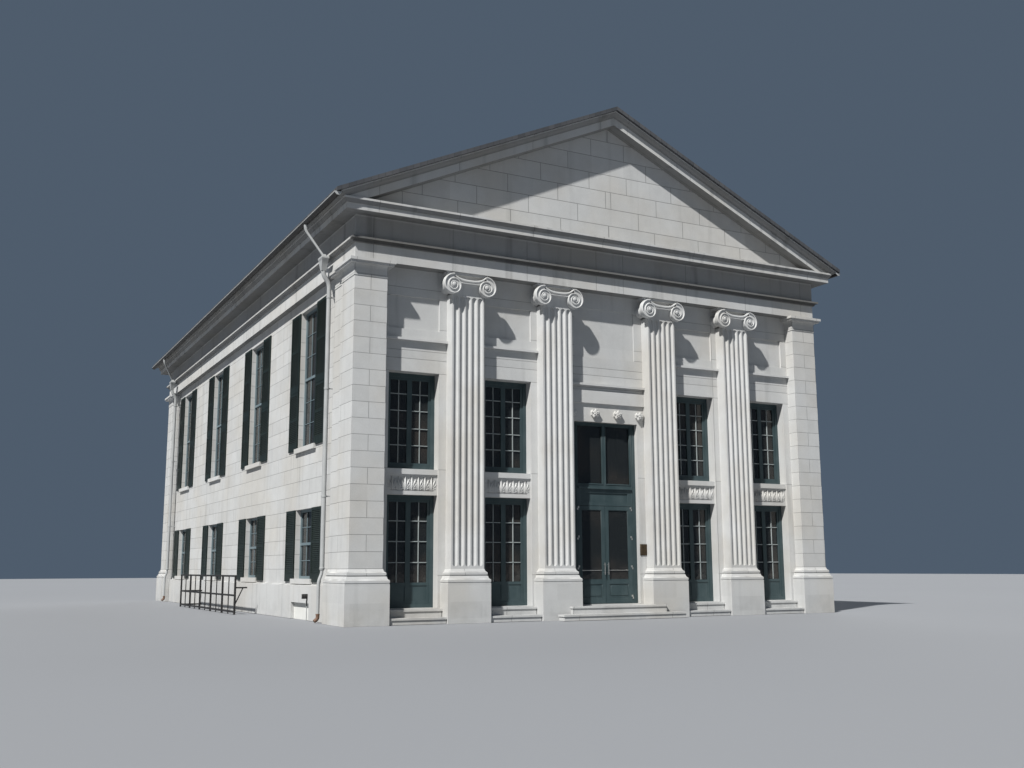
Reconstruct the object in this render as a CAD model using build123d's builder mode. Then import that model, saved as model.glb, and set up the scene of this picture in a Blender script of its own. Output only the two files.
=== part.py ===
from build123d import *
import math
import os

# Town hall in the Greek manner: a hollow granite block with fluted pilasters on its front.
# Millimetres. X runs across the front, Y from the front to the back, Z up from the ground.
# The origin is the middle of the plan, on the ground.

# Plan.
WIDTH = 16760          # across the corner pier faces
LENGTH = 27950         # front pier faces to back pier faces
PIER_FRONT = 965       # a corner pier seen from the front
PIER_SIDE = 1100       # the first strip of a corner pier seen from the side
PIER_STRIP = 780       # the narrower strip behind it
STRIP_SETBACK = 60     # the second strip stands back from the first
SIDE_SETBACK = 200     # side wall face behind the pier face
FRONT_SETBACK = 380    # front wall face behind the pier face
WALL = 600             # wall thickness
INSET = 80             # how far a moulding's stone runs into the wall behind it

# Heights.
PLINTH_TOP = 1089
BASE_TALL = 402        # mouldings that stand on a plinth
CAP_TALL = 467         # a corner pier's cap, under the architrave
ARCHITRAVE = 10000     # underside of the architrave
ARCHITRAVE_TALL = 610
FRIEZE_TALL = 660
CORNICE_TALL = 330
FLOOR = 420            # top of the ground floor
SLAB = 200             # ground floor thickness
UPPER_FLOOR = 3900     # top of the upper floor
UPPER_SLAB = 300

# Outward reach of the mouldings.
PLINTH_OUT = 150
CAP_OUT = 190
CROWN_OUT = 150        # moulding on top of the architrave
CROWN_TALL = 140
CORONA_OUT = 415
CORONA_FACE = 170
CORNICE_OUT = 500
FILLET = 60            # top edge of the cornice
RING = 800             # depth of the entablature behind the pier face
FOOTING_OUT = 130      # base course of the side and back walls
FOOTING_SLOPE = 40

# Pilasters.
INNER_PILASTER = 1914  # centre from the middle of the front
OUTER_PILASTER = 4902
SHAFT = 1020           # shaft width
FLUTES = 5
FLUTE_PITCH = 193
FLUTE_R = 80
FLUTE_SINK = 20        # flute axis in front of the shaft face
FLUTE_MARGIN = 60      # plain stone between the base and the foot of a flute
FLUTE_SIDES = 12
NECK = 660             # capital and necking, from the architrave down

# Capitals, seen from the front about a volute's eye.
EYE_OUT = 525          # eye from the pilaster's centre
EYE_DROP = 420         # eye below the architrave
EYE_R = 72
EYE_SIDES = 8
SPIRAL_SIDE = 15       # start of the spiral, on the inner side of the eye
SPIRAL_RISE = 330      # and above it
SPIRAL_RADII = (325, 288, 254, 225, 197, 173, 149, 130, 113, 96)
SPIRAL_STEPS = 3       # straight runs in each quarter turn
BODY_QUARTERS = 4      # quarters of the spiral that bound the volute's body
BAND_WIDE = 48
BAND_NARROW = 30
VOLUTE_OUT = 150       # volute face in front of the shaft face
VOLUTE_THICK = 130
BAND_PROUD = 32        # spiral band in front of the volute face
EYE_PROUD = 40
BOLSTER_R = 210
# Bands between the volutes: top at the ends and in the middle above the eyes, then the two thicknesses.
SAGS = ((330, 173, 50, 75), (90, 73, 30, 30))
SAG_CURL = 5           # how late the bands turn up towards their ends
BOLSTER_SIDES = 10
ABACUS_HALF = 660
ABACUS_TALL = 80
ABACUS_OUT = 30
SAG_STEPS = 6

# Front bays.
BAY_OPEN = 1540
SPANDREL_LOW = 3530
SPANDREL_TOP = 4250
SPANDREL_SETBACK = 90  # spandrel face behind the wall face
SPANDREL_EDGE = 110    # plain border under and over the carved field
SPANDREL_SILL = 150
SPANDREL_SILL_OUT = 40
SPANDREL_SINK = 35
BAY_HEAD = 7000
JOINERY_SETBACK = 320  # joinery behind the wall face
JOINERY_DEPTH = 100
FRAME_BAR = 110
LEAF_BAR = 80          # stile and rail of a glazed leaf
LEAF_STEP = 25         # leaf face behind the frame face
MEETING = 150          # the two meeting stiles of a pair
SCREEN_PANEL = 690     # height of the panel and rails under the glass of a tall screen
PANEL_LOW = 8240
PANEL_TOP = 9200
PANEL_SINK = 60
LABEL_LOW = 7900
LABEL_TALL = 65
LABEL_OUT = 100

# Stone over the entrance.
TABLET_LOW = 7940
TABLET_TOP = 9500
TABLET_HALF = 1100
TABLET_SINK = 30
HOOD_LOW = 7040
HOOD_TALL = 70
HOOD_OUT = 120
BOARD_LOW = 6500
BOARD_TALL = 390
BOARD_OUT = 60
ROSETTES = 4
ROSETTE_PITCH = 820
ROSETTE_RISE = 250     # centre above the doorway's head
ROSETTE_R = 150
ROSETTE_OUT = 70
ROSETTE_SIDES = 10
BOSS_R = 45
BOSS_OUT = 30

# Entrance.
DOORWAY = 2300
DOORWAY_HEAD = 5930
DOOR_SETBACK = 160     # entrance joinery behind the wall face
DOOR_FRAME = 120       # depth of the entrance joinery
JAMB = 190
TRANSOM_LOW = 3370
TRANSOM_TALL = 570
TRANSOM_LEDGE = 60
TRANSOM_LEDGE_OUT = 50
TRANSOM_FIELD = 25     # sunk field of the transom
TRANSOM_EDGE = 120
FANLIGHT_RAIL = 90
HEAD_RAIL = 95
MULLION = 120
LEAF_CLEAR = 10        # leaf to floor and to transom
LEAF_THICK = 55
LEAF_GAP = 5           # leaf to jamb, and half the gap between the leaves
STILE = 120
LEAF_GLASS_LOW = 710   # glass above the leaf's foot
LEAF_PANEL_LOW = 180
LEAF_PANEL_TOP = 580
LEAF_PANEL_SINK = 15
GLASS = 8
PULL_RISE = 1040       # pull's middle above the leaf's foot
PULL_LONG = 360
PULL_R = 13
PULL_OUT = 62
PULL_POSTS = 240
PULL_POST_R = 10
PULL_SIDES = 8
HINGES = 4
HINGE_END = 130        # outer hinges from the leaf's ends
HINGE_TALL = 116
HINGE_R = 9
HINGE_SIDES = 6
HINGE_OUT = 12         # hinge axis in front of the leaf
HINGE_SIDE = 2         # hinge axis beyond the jamb's edge
HINGE_PLATE = 44

# Steps.
TREAD = 55
NOSING = 25
STEP_TOP = 395
LOW_STEP_TOP = 180
STEP_WIDE = 3360
LOW_STEP_WIDE = 4300
STEP_GOING = 320
STEP_FRONT = 130       # upper step in front of the plinths
BAY_STEP_BACK = 200    # front edge of a bay's upper step behind the pier face
BAY_STEP_GOING = 300

# Side and back windows.
SIDE_FIRST = 4800      # first side window behind the front pier face
SIDE_LAST = 4100       # last side window ahead of the back pier face
SIDE_COUNT = 4
BACK_COUNT = 3
BACK_PITCH = 4500
WINDOW = 1740
LOW_SILL = 1200
LOW_HEAD = 3310
HIGH_SILL = 5240
HIGH_HEAD = 9640
SILL = 150
SILL_OUT = 90
SILL_WIDE = 2060
SASH = 80
SASH_SETBACK = 150
SASH_DEPTH = 100
SHUTTER = 940
SHUTTER_THICK = 45
SHUTTER_SPLIT = 1840   # upper leaf of an upper window starts this far above the sill
SHUTTER_RAIL = 90
SHUTTER_FOOT = 240     # bottom rail
SHUTTER_JOINT = 12     # gap beside and between shutter leaves
LOW_SHUTTER_DROP = 90  # shutter below the sill's top
HIGH_SHUTTER_DROP = 40
LOUVRE_SINK = 22

# Basement opening and area railing on the left side.
VENT_AT = 4585         # centre behind the front pier face
VENT_WIDE = 1830
VENT_TALL = 500
BOARD_THICK = 25
RAILING_FROM = 9220    # ends behind the front pier face
RAILING_TO = 18490
RAILING_OUT = 970      # from the wall face
RAILING_POSTS = 6
RAILING_BAR = 60
RAILING_FLAT = 40
RAILING_HEIGHTS = (60, 600, 1240)

# Roof.
EAVE_TALL = 150        # roof surface over the cornice at its lower edge
ROOF_RISE = 4180
EAVE_OUT = 630         # fascia beyond the pier face
ROOF_LIP = 140         # roof beyond the fascia
ROOF_OVER = 640        # roof beyond the gable's face
ROOF_THICK = 120       # measured upright
RAKE_OUT = 550
RAKE_CORONA_OUT = 420
RAKE_CYMA = 190        # upper moulding of the rake, measured upright
RAKE_TALL = 430        # whole raking cornice, measured upright
TYMPANUM = 400
GUTTER_R = 100
GUTTER_WALL = 8
GUTTER_SIDES = 20
GUTTER_END = 600       # gutter beyond the gable's face

# Rainwater pipes, from the gutter down.
PIPE_R = 52
PIPE_SIDES = 6
PIPE_NEAR = 2050       # front pipes behind the front pier face
PIPE_FAR = 2120        # back pipes ahead of the back pier face
OUTLET_SHIFT = 300     # outlet nearer the middle of the side than the pipe
OUTLET_DROP = 170
HEAD_TALL = 500        # leader head below the top of the architrave
HEAD_WIDE = 400
HEAD_DEEP = 220
HEAD_PEAK = 80
HEAD_BOX = 110
JOG = 270              # height of the jog under the leader head
PIPE_OFF = 270         # main run's axis from the wall face
KICK_LOW = 1150
KICK_HIGH = 1450
KICK_OUT = 90
SHOE_TALL = 330
SHOE_OUT = 110
SHOE_R = 66
STRAPS = 3
STRAP = 50

FRONT = -LENGTH / 2
BACK = LENGTH / 2
HALF = WIDTH / 2
BASE_TOP = PLINTH_TOP + BASE_TALL
SHAFT_TOP = ARCHITRAVE - CAP_TALL
CORONA = ARCHITRAVE_TALL + FRIEZE_TALL
CORNICE_TOP = ARCHITRAVE + CORONA + CORNICE_TALL
EAVE_TOP = CORNICE_TOP + EAVE_TALL
APEX = EAVE_TOP + ROOF_RISE
FASCIA = HALF + EAVE_OUT
ROOF_HALF = FASCIA + ROOF_LIP
SLOPE = ROOF_RISE / ROOF_HALF
FRONT_WALL = FRONT + FRONT_SETBACK
FRONT_IN = FRONT_WALL + WALL
SIDE_WALL = HALF - SIDE_SETBACK
SIDE_IN = SIDE_WALL - WALL
BACK_WALL = BACK - SIDE_SETBACK
BACK_IN = BACK_WALL - WALL
PIER_INNER = HALF - PIER_FRONT
PIER_LONG = PIER_SIDE + PIER_STRIP
STRIP_FACE = HALF - STRIP_SETBACK
FOOTING_TOP = LOW_SILL - SILL
FOOTING_FACE = SIDE_WALL + FOOTING_OUT
CLEAR = 0.3            # curved pieces stand this far off their neighbours
PAST = 1               # a cut runs this far past the stone it opens
PILASTERS = (-OUTER_PILASTER, -INNER_PILASTER, INNER_PILASTER, OUTER_PILASTER)
# Each bay between its two neighbours' shafts, from the left corner pier to the right one.
BAY_SPANS = (
    (-PIER_INNER, PILASTERS[0] - SHAFT / 2), (PILASTERS[0] + SHAFT / 2, PILASTERS[1] - SHAFT / 2),
    (PILASTERS[2] + SHAFT / 2, PILASTERS[3] - SHAFT / 2), (PILASTERS[3] + SHAFT / 2, PIER_INNER),
)
BAYS = [(low + high) / 2 for low, high in BAY_SPANS]
SIDE_PITCH = (LENGTH - SIDE_FIRST - SIDE_LAST) / (SIDE_COUNT - 1)
SIDE_WINDOWS = [FRONT + SIDE_FIRST + SIDE_PITCH * n for n in range(SIDE_COUNT)]
BACK_WINDOWS = [BACK_PITCH * (n - (BACK_COUNT - 1) / 2) for n in range(BACK_COUNT)]
STOREYS = ((LOW_SILL, LOW_HEAD), (HIGH_SILL, HIGH_HEAD))


def block(x0, x1, y0, y1, z0, z1, mode=Mode.ADD):
    """Add or cut a box given by its low and high sides."""
    with Locations(((x0 + x1) / 2, (y0 + y1) / 2, (z0 + z1) / 2)):
        Box(abs(x1 - x0), abs(y1 - y0), abs(z1 - z0), mode=mode)


def upright(points, y0, y1, mode=Mode.ADD):
    """Extrude an (x, z) outline from one depth to another."""
    with BuildSketch(Plane.XZ.offset(-y0)) as face:
        with BuildLine():
            Polyline(*points, close=True)
        make_face()
    extrude(face.sketch, amount=y0 - y1, mode=mode)


def many_sided(start, end, radius, sides):
    """Straight bar with a many-sided section between two points."""
    axis = Vector(*end) - Vector(*start)
    with BuildSketch(Plane(origin=start, z_dir=axis)) as section:
        RegularPolygon(radius, sides)
    extrude(section.sketch, amount=axis.length)


def moulding(path, profile, z):
    """Run a profile of (outward, up) points along a level path whose outside lies to its left."""
    with BuildLine() as run:
        Polyline(*[(x, y, z) for x, y in path])
    start, tangent = run.line @ 0, run.line % 0
    outward = Vector(-tangent.Y, tangent.X, 0)
    with BuildSketch(Plane(origin=start, x_dir=outward, z_dir=tangent)) as section:
        with BuildLine():
            Polyline(*profile, close=True)
        make_face()
    sweep(section.sketch, path=run.line, transition=Transition.RIGHT)


def section_of(shape, out, tall):
    """Full-size moulding section from shares of its reach and height, with its root in the wall."""
    return [(-INSET, 0)] + [(out * u, tall * v) for u, v in shape] + [(-INSET, tall)]


def roof_z(x):
    """Height of the roof surface at a distance from the middle."""
    return APEX - SLOPE * abs(x)


# Moulding sections, as shares of (reach, height).
BASE = section_of([
    (0.93, 0), (0.93, 0.08), (1, 0.08), (1, 0.23), (0.7, 0.33), (0.54, 0.5), (0.37, 0.5), (0.37, 0.58),
    (0.5, 0.58), (0.5, 0.73), (0.2, 0.82), (0, 1),
], PLINTH_OUT, BASE_TALL)
PIER_CAP = section_of([
    (0.08, 0), (0.08, 0.065), (0.03, 0.065), (0.03, 0.5), (0.1, 0.62), (0.26, 0.7), (0.79, 0.7),
    (0.79, 0.83), (1, 0.83), (1, 1),
], CAP_OUT, CAP_TALL)
PLINTH_SECTION = section_of([(1, 0), (1, 1)], PLINTH_OUT, PLINTH_TOP)
ENTABLATURE = [
    (-RING, 0), (0, 0), (0, ARCHITRAVE_TALL - CROWN_TALL),
    (CROWN_OUT / 3, ARCHITRAVE_TALL - CROWN_TALL), (CROWN_OUT / 2, ARCHITRAVE_TALL - CROWN_TALL * 0.6),
    (CROWN_OUT, ARCHITRAVE_TALL - CROWN_TALL * 0.4), (CROWN_OUT, ARCHITRAVE_TALL), (0, ARCHITRAVE_TALL),
    (0, CORONA), (CORONA_OUT, CORONA), (CORONA_OUT, CORONA + CORONA_FACE),
    (CORONA_OUT + CORNICE_TALL / 10, CORONA + CORONA_FACE), (CORNICE_OUT, CORONA + CORNICE_TALL - FILLET),
    (CORNICE_OUT, CORONA + CORNICE_TALL), (-RING, CORONA + CORNICE_TALL),
]


def bay(x):
    """Cut one front bay's tall opening and its sunk panel."""
    half = BAY_OPEN / 2
    block(x - half, x + half, FRONT_WALL - PAST, FRONT_IN + PAST, FLOOR, BAY_HEAD, Mode.SUBTRACT)
    block(x - half, x + half, FRONT_WALL - PAST, FRONT_WALL + PANEL_SINK, PANEL_LOW, PANEL_TOP,
          Mode.SUBTRACT)


def side_holes(x0, x1):
    """Cut every window of one side wall."""
    for y in SIDE_WINDOWS:
        for low, high in STOREYS:
            block(x0 - PAST, x1 + PAST, y - WINDOW / 2, y + WINDOW / 2, low - SILL, high, Mode.SUBTRACT)


with BuildPart() as front_wall_left:
    block(-PIER_INNER, -DOORWAY / 2, FRONT_WALL, FRONT_IN, 0, ARCHITRAVE)
    bay(BAYS[0])
    bay(BAYS[1])

with BuildPart() as front_wall_right:
    block(DOORWAY / 2, PIER_INNER, FRONT_WALL, FRONT_IN, 0, ARCHITRAVE)
    bay(BAYS[2])
    bay(BAYS[3])

with BuildPart() as front_wall_over_door:
    block(-DOORWAY / 2, DOORWAY / 2, FRONT_WALL, FRONT_IN, DOORWAY_HEAD, ARCHITRAVE)
    block(-TABLET_HALF, TABLET_HALF, FRONT_WALL - PAST, FRONT_WALL + TABLET_SINK, TABLET_LOW, TABLET_TOP,
          Mode.SUBTRACT)

with BuildPart() as left_wall:
    block(-SIDE_WALL, -SIDE_IN, FRONT + PIER_LONG, BACK - PIER_LONG, 0, ARCHITRAVE)
    side_holes(-SIDE_WALL, -SIDE_IN)

with BuildPart() as right_wall:
    block(SIDE_IN, SIDE_WALL, FRONT + PIER_LONG, BACK - PIER_LONG, 0, ARCHITRAVE)
    side_holes(SIDE_IN, SIDE_WALL)

with BuildPart() as back_wall:
    block(-PIER_INNER, PIER_INNER, BACK_IN, BACK_WALL, 0, ARCHITRAVE)
    for centre in BACK_WINDOWS:
        for low, high in STOREYS:
            block(centre - WINDOW / 2, centre + WINDOW / 2, BACK_IN - PAST, BACK_WALL + PAST, low - SILL,
                  high, Mode.SUBTRACT)

with BuildPart() as corner_piers:
    for sx in (-1, 1):
        for sy, inner, wall in ((-1, FRONT_IN, FRONT_WALL), (1, BACK_IN, BACK_WALL)):
            end = sy * BACK
            strip = end - sy * PIER_SIDE
            tail = end - sy * PIER_LONG
            block(sx * PIER_INNER, sx * HALF, end, inner, 0, ARCHITRAVE)
            block(sx * SIDE_IN, sx * HALF, inner, strip, 0, ARCHITRAVE)
            block(sx * SIDE_IN, sx * STRIP_FACE, strip, tail, 0, ARCHITRAVE)
            round_pier = [(sx * PIER_INNER, wall), (sx * PIER_INNER, end), (sx * HALF, end),
                          (sx * HALF, strip), (sx * STRIP_FACE, strip), (sx * STRIP_FACE, tail)]
            if sx * sy < 0:
                round_pier.reverse()
            moulding(round_pier, PLINTH_SECTION, 0)
            moulding(round_pier, BASE, PLINTH_TOP)
            moulding(round_pier, PIER_CAP, SHAFT_TOP)

with BuildPart() as base_courses:
    footing = [(0, 0), (FOOTING_OUT, 0), (FOOTING_OUT, FOOTING_TOP - FOOTING_SLOPE), (0, FOOTING_TOP)]
    moulding([(-SIDE_WALL, FRONT + PIER_LONG), (-SIDE_WALL, BACK - PIER_LONG)], footing, 0)
    moulding([(SIDE_WALL, BACK - PIER_LONG), (SIDE_WALL, FRONT + PIER_LONG)], footing, 0)
    moulding([(PLINTH_OUT - PIER_INNER, BACK_WALL), (PIER_INNER - PLINTH_OUT, BACK_WALL)], footing, 0)
    block(-FOOTING_FACE - PAST, -SIDE_WALL, FRONT + VENT_AT - VENT_WIDE / 2, FRONT + VENT_AT + VENT_WIDE / 2,
          0, VENT_TALL, Mode.SUBTRACT)

with BuildPart() as vent_boards:
    block(-SIDE_WALL - BOARD_THICK, -SIDE_WALL, FRONT + VENT_AT - VENT_WIDE / 2,
          FRONT + VENT_AT + VENT_WIDE / 2, 0, VENT_TALL)

with BuildPart() as pilaster_plinths:
    for x in PILASTERS:
        block(x - SHAFT / 2, x + SHAFT / 2, FRONT, FRONT_WALL, 0, BASE_TOP)
        round_shaft = [(x + SHAFT / 2, FRONT_WALL), (x + SHAFT / 2, FRONT), (x - SHAFT / 2, FRONT),
                       (x - SHAFT / 2, FRONT_WALL)]
        moulding(round_shaft, PLINTH_SECTION, 0)
        moulding(round_shaft, BASE, PLINTH_TOP)

FLUTE_FOOT = BASE_TOP + FLUTE_MARGIN
NECK_LOW = ARCHITRAVE - NECK
FLUTE_HEAD = NECK_LOW - FLUTE_MARGIN
FLUTE_HALF = math.sqrt(FLUTE_R ** 2 - FLUTE_SINK ** 2)


def flute_outline(x):
    """Tall outline of one flute with rounded ends, as seen from the front."""
    turns = [math.pi * n / (FLUTE_SIDES / 2) for n in range(FLUTE_SIDES // 2 + 1)]
    arch = [(FLUTE_HALF * math.cos(a), FLUTE_HALF * math.sin(a) - FLUTE_HALF) for a in turns]
    return [(x + u, FLUTE_HEAD + v) for u, v in arch] + [(x - u, FLUTE_FOOT - v) for u, v in arch]


FLUTE_AXES = [FLUTE_PITCH * (n - (FLUTES - 1) / 2) for n in range(FLUTES)]

with BuildPart() as flute_ends:
    for x in FLUTE_AXES:
        upright(flute_outline(x), FRONT - FLUTE_R, FRONT_WALL)

with BuildPart() as flute_cutters:
    for x in FLUTE_AXES:
        many_sided((x, FRONT - FLUTE_SINK, FLUTE_FOOT), (x, FRONT - FLUTE_SINK, FLUTE_HEAD), FLUTE_R,
                   FLUTE_SIDES)
    add(flute_ends.part, mode=Mode.INTERSECT)

with BuildPart() as pilaster_shafts:
    for x in PILASTERS:
        block(x - SHAFT / 2, x + SHAFT / 2, FRONT, FRONT_WALL, BASE_TOP, NECK_LOW)
    with Locations(*[(x, 0, 0) for x in PILASTERS]):
        add(flute_cutters.part, mode=Mode.SUBTRACT)


def spiral(inset):
    """Points of the left volute about its eye, from the architrave inwards, moved in across its band."""
    x, z = SPIRAL_SIDE, SPIRAL_RISE
    points = []
    for n, radius in enumerate(SPIRAL_RADII):
        start = math.pi / 2 * (n + 1)
        x -= radius * math.cos(start)
        z -= radius * math.sin(start)
        for step in range(SPIRAL_STEPS):
            done = (n + step / SPIRAL_STEPS) / len(SPIRAL_RADII)
            reach = radius - inset * (BAND_WIDE + (BAND_NARROW - BAND_WIDE) * done)
            turn = start + math.pi / 2 * step / SPIRAL_STEPS
            points.append((x + reach * math.cos(turn), z + reach * math.sin(turn)))
        x += radius * math.cos(start + math.pi / 2)
        z += radius * math.sin(start + math.pi / 2)
    return points


EYE_Z = ARCHITRAVE - EYE_DROP - CLEAR
VOLUTE_BODY = spiral(0)[:BODY_QUARTERS * SPIRAL_STEPS + 1]
VOLUTE_BAND = spiral(0) + spiral(1)[::-1]


def sag(end, middle, thick_end, thick_middle):
    """Outline of a band hung between the two volutes; heights are above their eyes."""
    shares = [2 * n / SAG_STEPS - 1 for n in range(SAG_STEPS + 1)]
    curls = [abs(t) ** SAG_CURL for t in shares]
    upper = [(EYE_OUT * t, EYE_Z + middle + (end - middle) * u) for t, u in zip(shares, curls)]
    lower = [(x, z - thick_middle - (thick_end - thick_middle) * u) for u, (x, z) in zip(curls, upper)]
    return upper + lower[::-1]


with BuildPart() as one_capital:
    block(-SHAFT / 2, SHAFT / 2, FRONT, FRONT_WALL, NECK_LOW, ARCHITRAVE)
    block(-ABACUS_HALF, ABACUS_HALF, FRONT - ABACUS_OUT, FRONT_WALL, ARCHITRAVE - ABACUS_TALL, ARCHITRAVE)
    for end, middle, thick_end, thick_middle in SAGS:
        upright(sag(end, middle, thick_end, thick_middle), FRONT - VOLUTE_OUT, FRONT)
    for side in (-1, 1):
        eye = side * EYE_OUT
        face = FRONT - VOLUTE_OUT
        upright([(eye - side * x, EYE_Z + z) for x, z in VOLUTE_BODY], face, face + VOLUTE_THICK)
        upright([(eye - side * x, EYE_Z + z) for x, z in VOLUTE_BAND], face - BAND_PROUD, face)
        many_sided((eye, face, EYE_Z), (eye, face - EYE_PROUD, EYE_Z), EYE_R, EYE_SIDES)
        many_sided((eye, face + VOLUTE_THICK, EYE_Z), (eye, FRONT_WALL, EYE_Z), BOLSTER_R, BOLSTER_SIDES)

with BuildPart() as ionic_capitals:
    with Locations(*[(x, 0, 0) for x in PILASTERS]):
        add(one_capital.part)


def entablature_run(plane, length, mitres):
    """Extrude the entablature profile along one side and mitre both ends."""
    with BuildSketch(plane) as section:
        with BuildLine():
            Polyline(*ENTABLATURE, close=True)
        make_face()
    extrude(section.sketch, amount=length / 2 + CORNICE_OUT + PAST, both=True)
    for mitre in mitres:
        split(bisect_by=mitre, keep=Keep.TOP)


def mitre(sx, sy, along_front):
    """Upright plane through one pier corner at 45 degrees, its top side towards the run."""
    toward = Vector(-sx, sy, 0) if along_front else Vector(sx, -sy, 0)
    return Plane(origin=(sx * HALF, sy * BACK, 0), z_dir=toward)


with BuildPart() as entablature_front:
    entablature_run(Plane(origin=(0, FRONT, ARCHITRAVE), x_dir=(0, -1, 0), z_dir=(-1, 0, 0)), WIDTH,
                    [mitre(-1, -1, True), mitre(1, -1, True)])

with BuildPart() as entablature_back:
    entablature_run(Plane(origin=(0, BACK, ARCHITRAVE), x_dir=(0, 1, 0), z_dir=(1, 0, 0)), WIDTH,
                    [mitre(-1, 1, True), mitre(1, 1, True)])

with BuildPart() as entablature_left:
    entablature_run(Plane(origin=(-HALF, 0, ARCHITRAVE), x_dir=(-1, 0, 0), z_dir=(0, 1, 0)), LENGTH,
                    [mitre(-1, -1, False), mitre(-1, 1, False)])

with BuildPart() as entablature_right:
    entablature_run(Plane(origin=(HALF, 0, ARCHITRAVE), x_dir=(1, 0, 0), z_dir=(0, -1, 0)), LENGTH,
                    [mitre(1, -1, False), mitre(1, 1, False)])

with BuildPart() as tympana:
    gable = [(-SIDE_IN, CORNICE_TOP), (SIDE_IN, CORNICE_TOP), (SIDE_IN, roof_z(SIDE_IN) - ROOF_THICK),
             (0, APEX - ROOF_THICK), (-SIDE_IN, roof_z(SIDE_IN) - ROOF_THICK)]
    upright(gable, FRONT, FRONT + TYMPANUM)
    upright(gable, BACK - TYMPANUM, BACK)

# Depths below the roof surface are measured upright in RAKE; a sweep needs them square to the slope.
SQUARE = math.cos(math.atan(SLOPE))
CYMA_LOW = ROOF_THICK + RAKE_CYMA
RAKE = [(out, -depth * SQUARE) for out, depth in (
    (0, ROOF_THICK), (RAKE_OUT, ROOF_THICK), (RAKE_OUT, ROOF_THICK + RAKE_CYMA * 0.2),
    (RAKE_OUT * 0.94, ROOF_THICK + RAKE_CYMA * 0.5), (RAKE_OUT * 0.83, ROOF_THICK + RAKE_CYMA * 0.8),
    (RAKE_OUT * 0.81, CYMA_LOW), (RAKE_CORONA_OUT, CYMA_LOW), (RAKE_CORONA_OUT, ROOF_THICK + RAKE_TALL),
    (0, ROOF_THICK + RAKE_TALL),
)]

with BuildPart() as raking_cornices:
    reach = ROOF_HALF + RAKE_TALL
    for sy in (-1, 1):
        with BuildLine() as slopes:
            Polyline((-sy * reach, sy * BACK, roof_z(reach)), (0, sy * BACK, APEX),
                     (sy * reach, sy * BACK, roof_z(reach)))
        with BuildSketch(Plane(origin=slopes.line @ 0, x_dir=(0, sy, 0), z_dir=slopes.line % 0)) as section:
            with BuildLine():
                Polyline(*RAKE, close=True)
            make_face()
        sweep(section.sketch, path=slopes.line, transition=Transition.RIGHT)
    with Locations((0, 0, (CORNICE_TOP + APEX) / 2)):
        Box(2 * FASCIA, LENGTH + 2 * ROOF_OVER, APEX - CORNICE_TOP, mode=Mode.INTERSECT)

with BuildPart() as eaves:
    for side in (-1, 1):
        upright([
            (side * SIDE_IN, CORNICE_TOP), (side * FASCIA, CORNICE_TOP),
            (side * FASCIA, roof_z(FASCIA) - ROOF_THICK), (side * SIDE_IN, roof_z(SIDE_IN) - ROOF_THICK),
        ], FRONT, BACK)

with BuildPart() as roof_left:
    upright([(0, APEX), (-ROOF_HALF, EAVE_TOP), (-ROOF_HALF, EAVE_TOP - ROOF_THICK), (0, APEX - ROOF_THICK)],
            FRONT - ROOF_OVER, BACK + ROOF_OVER)

with BuildPart() as roof_right:
    upright([(0, APEX), (ROOF_HALF, EAVE_TOP), (ROOF_HALF, EAVE_TOP - ROOF_THICK), (0, APEX - ROOF_THICK)],
            FRONT - ROOF_OVER, BACK + ROOF_OVER)

GUTTER_AXIS = FASCIA + GUTTER_R + CLEAR
GUTTER_Z = EAVE_TOP - ROOF_THICK - CLEAR


def half_round(radius, side):
    """Lower half of the gutter's many-sided section, in its place under one eave."""
    turns = [math.pi * (1 + 2 * n / GUTTER_SIDES) for n in range(GUTTER_SIDES // 2 + 1)]
    return [(side * (GUTTER_AXIS + radius * math.cos(a)), GUTTER_Z + radius * math.sin(a)) for a in turns]


with BuildPart() as gutters:
    y0 = FRONT - GUTTER_END
    y1 = BACK + GUTTER_END
    lip = FASCIA + GUTTER_WALL
    for side in (-1, 1):
        outer = half_round(GUTTER_R, side)
        upright(outer + half_round(GUTTER_R - GUTTER_WALL, side)[::-1], y0, y1)
        upright(outer, y0, y0 + GUTTER_WALL)
        upright(outer, y1 - GUTTER_WALL, y1)
        block(side * FASCIA, side * lip, y0, y1, GUTTER_Z, roof_z(lip) - ROOF_THICK - CLEAR)

with BuildPart() as ground_floor:
    block(-SIDE_IN, SIDE_IN, FRONT_IN, BACK_IN, FLOOR - SLAB, FLOOR)

with BuildPart() as upper_floor:
    block(-SIDE_IN, SIDE_IN, FRONT_IN, BACK_IN, UPPER_FLOOR - UPPER_SLAB, UPPER_FLOOR)

JOINERY = FRONT_WALL + JOINERY_SETBACK
LEAF_FACE = JOINERY + LEAF_STEP
JOINERY_BACK = JOINERY + JOINERY_DEPTH
BAY_HALF = BAY_OPEN / 2
GLASS_Y = (LEAF_FACE + JOINERY_BACK - GLASS) / 2
# Clear glass of the two leaves of a pair, about the middle of a bay.
PAIR = ((FRAME_BAR + LEAF_BAR - BAY_HALF, -MEETING / 2), (MEETING / 2, BAY_HALF - FRAME_BAR - LEAF_BAR))
SCREEN_GLASS = (FLOOR + SCREEN_PANEL, SPANDREL_LOW - FRAME_BAR - LEAF_BAR)
UPPER_GLASS = (SPANDREL_TOP + FRAME_BAR + LEAF_BAR, BAY_HEAD - FRAME_BAR - LEAF_BAR)


def pair(x, low, high, glass):
    """Frame of a front bay with its two glazed leaves set back in it."""
    block(x - BAY_HALF, x + BAY_HALF, JOINERY, JOINERY_BACK, low, high)
    block(x - BAY_HALF + FRAME_BAR, x + BAY_HALF - FRAME_BAR, JOINERY - PAST, LEAF_FACE, low + FRAME_BAR,
          high - FRAME_BAR, Mode.SUBTRACT)
    for a, b in PAIR:
        block(x + a, x + b, JOINERY - PAST, JOINERY_BACK + PAST, glass[0], glass[1], Mode.SUBTRACT)


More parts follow.
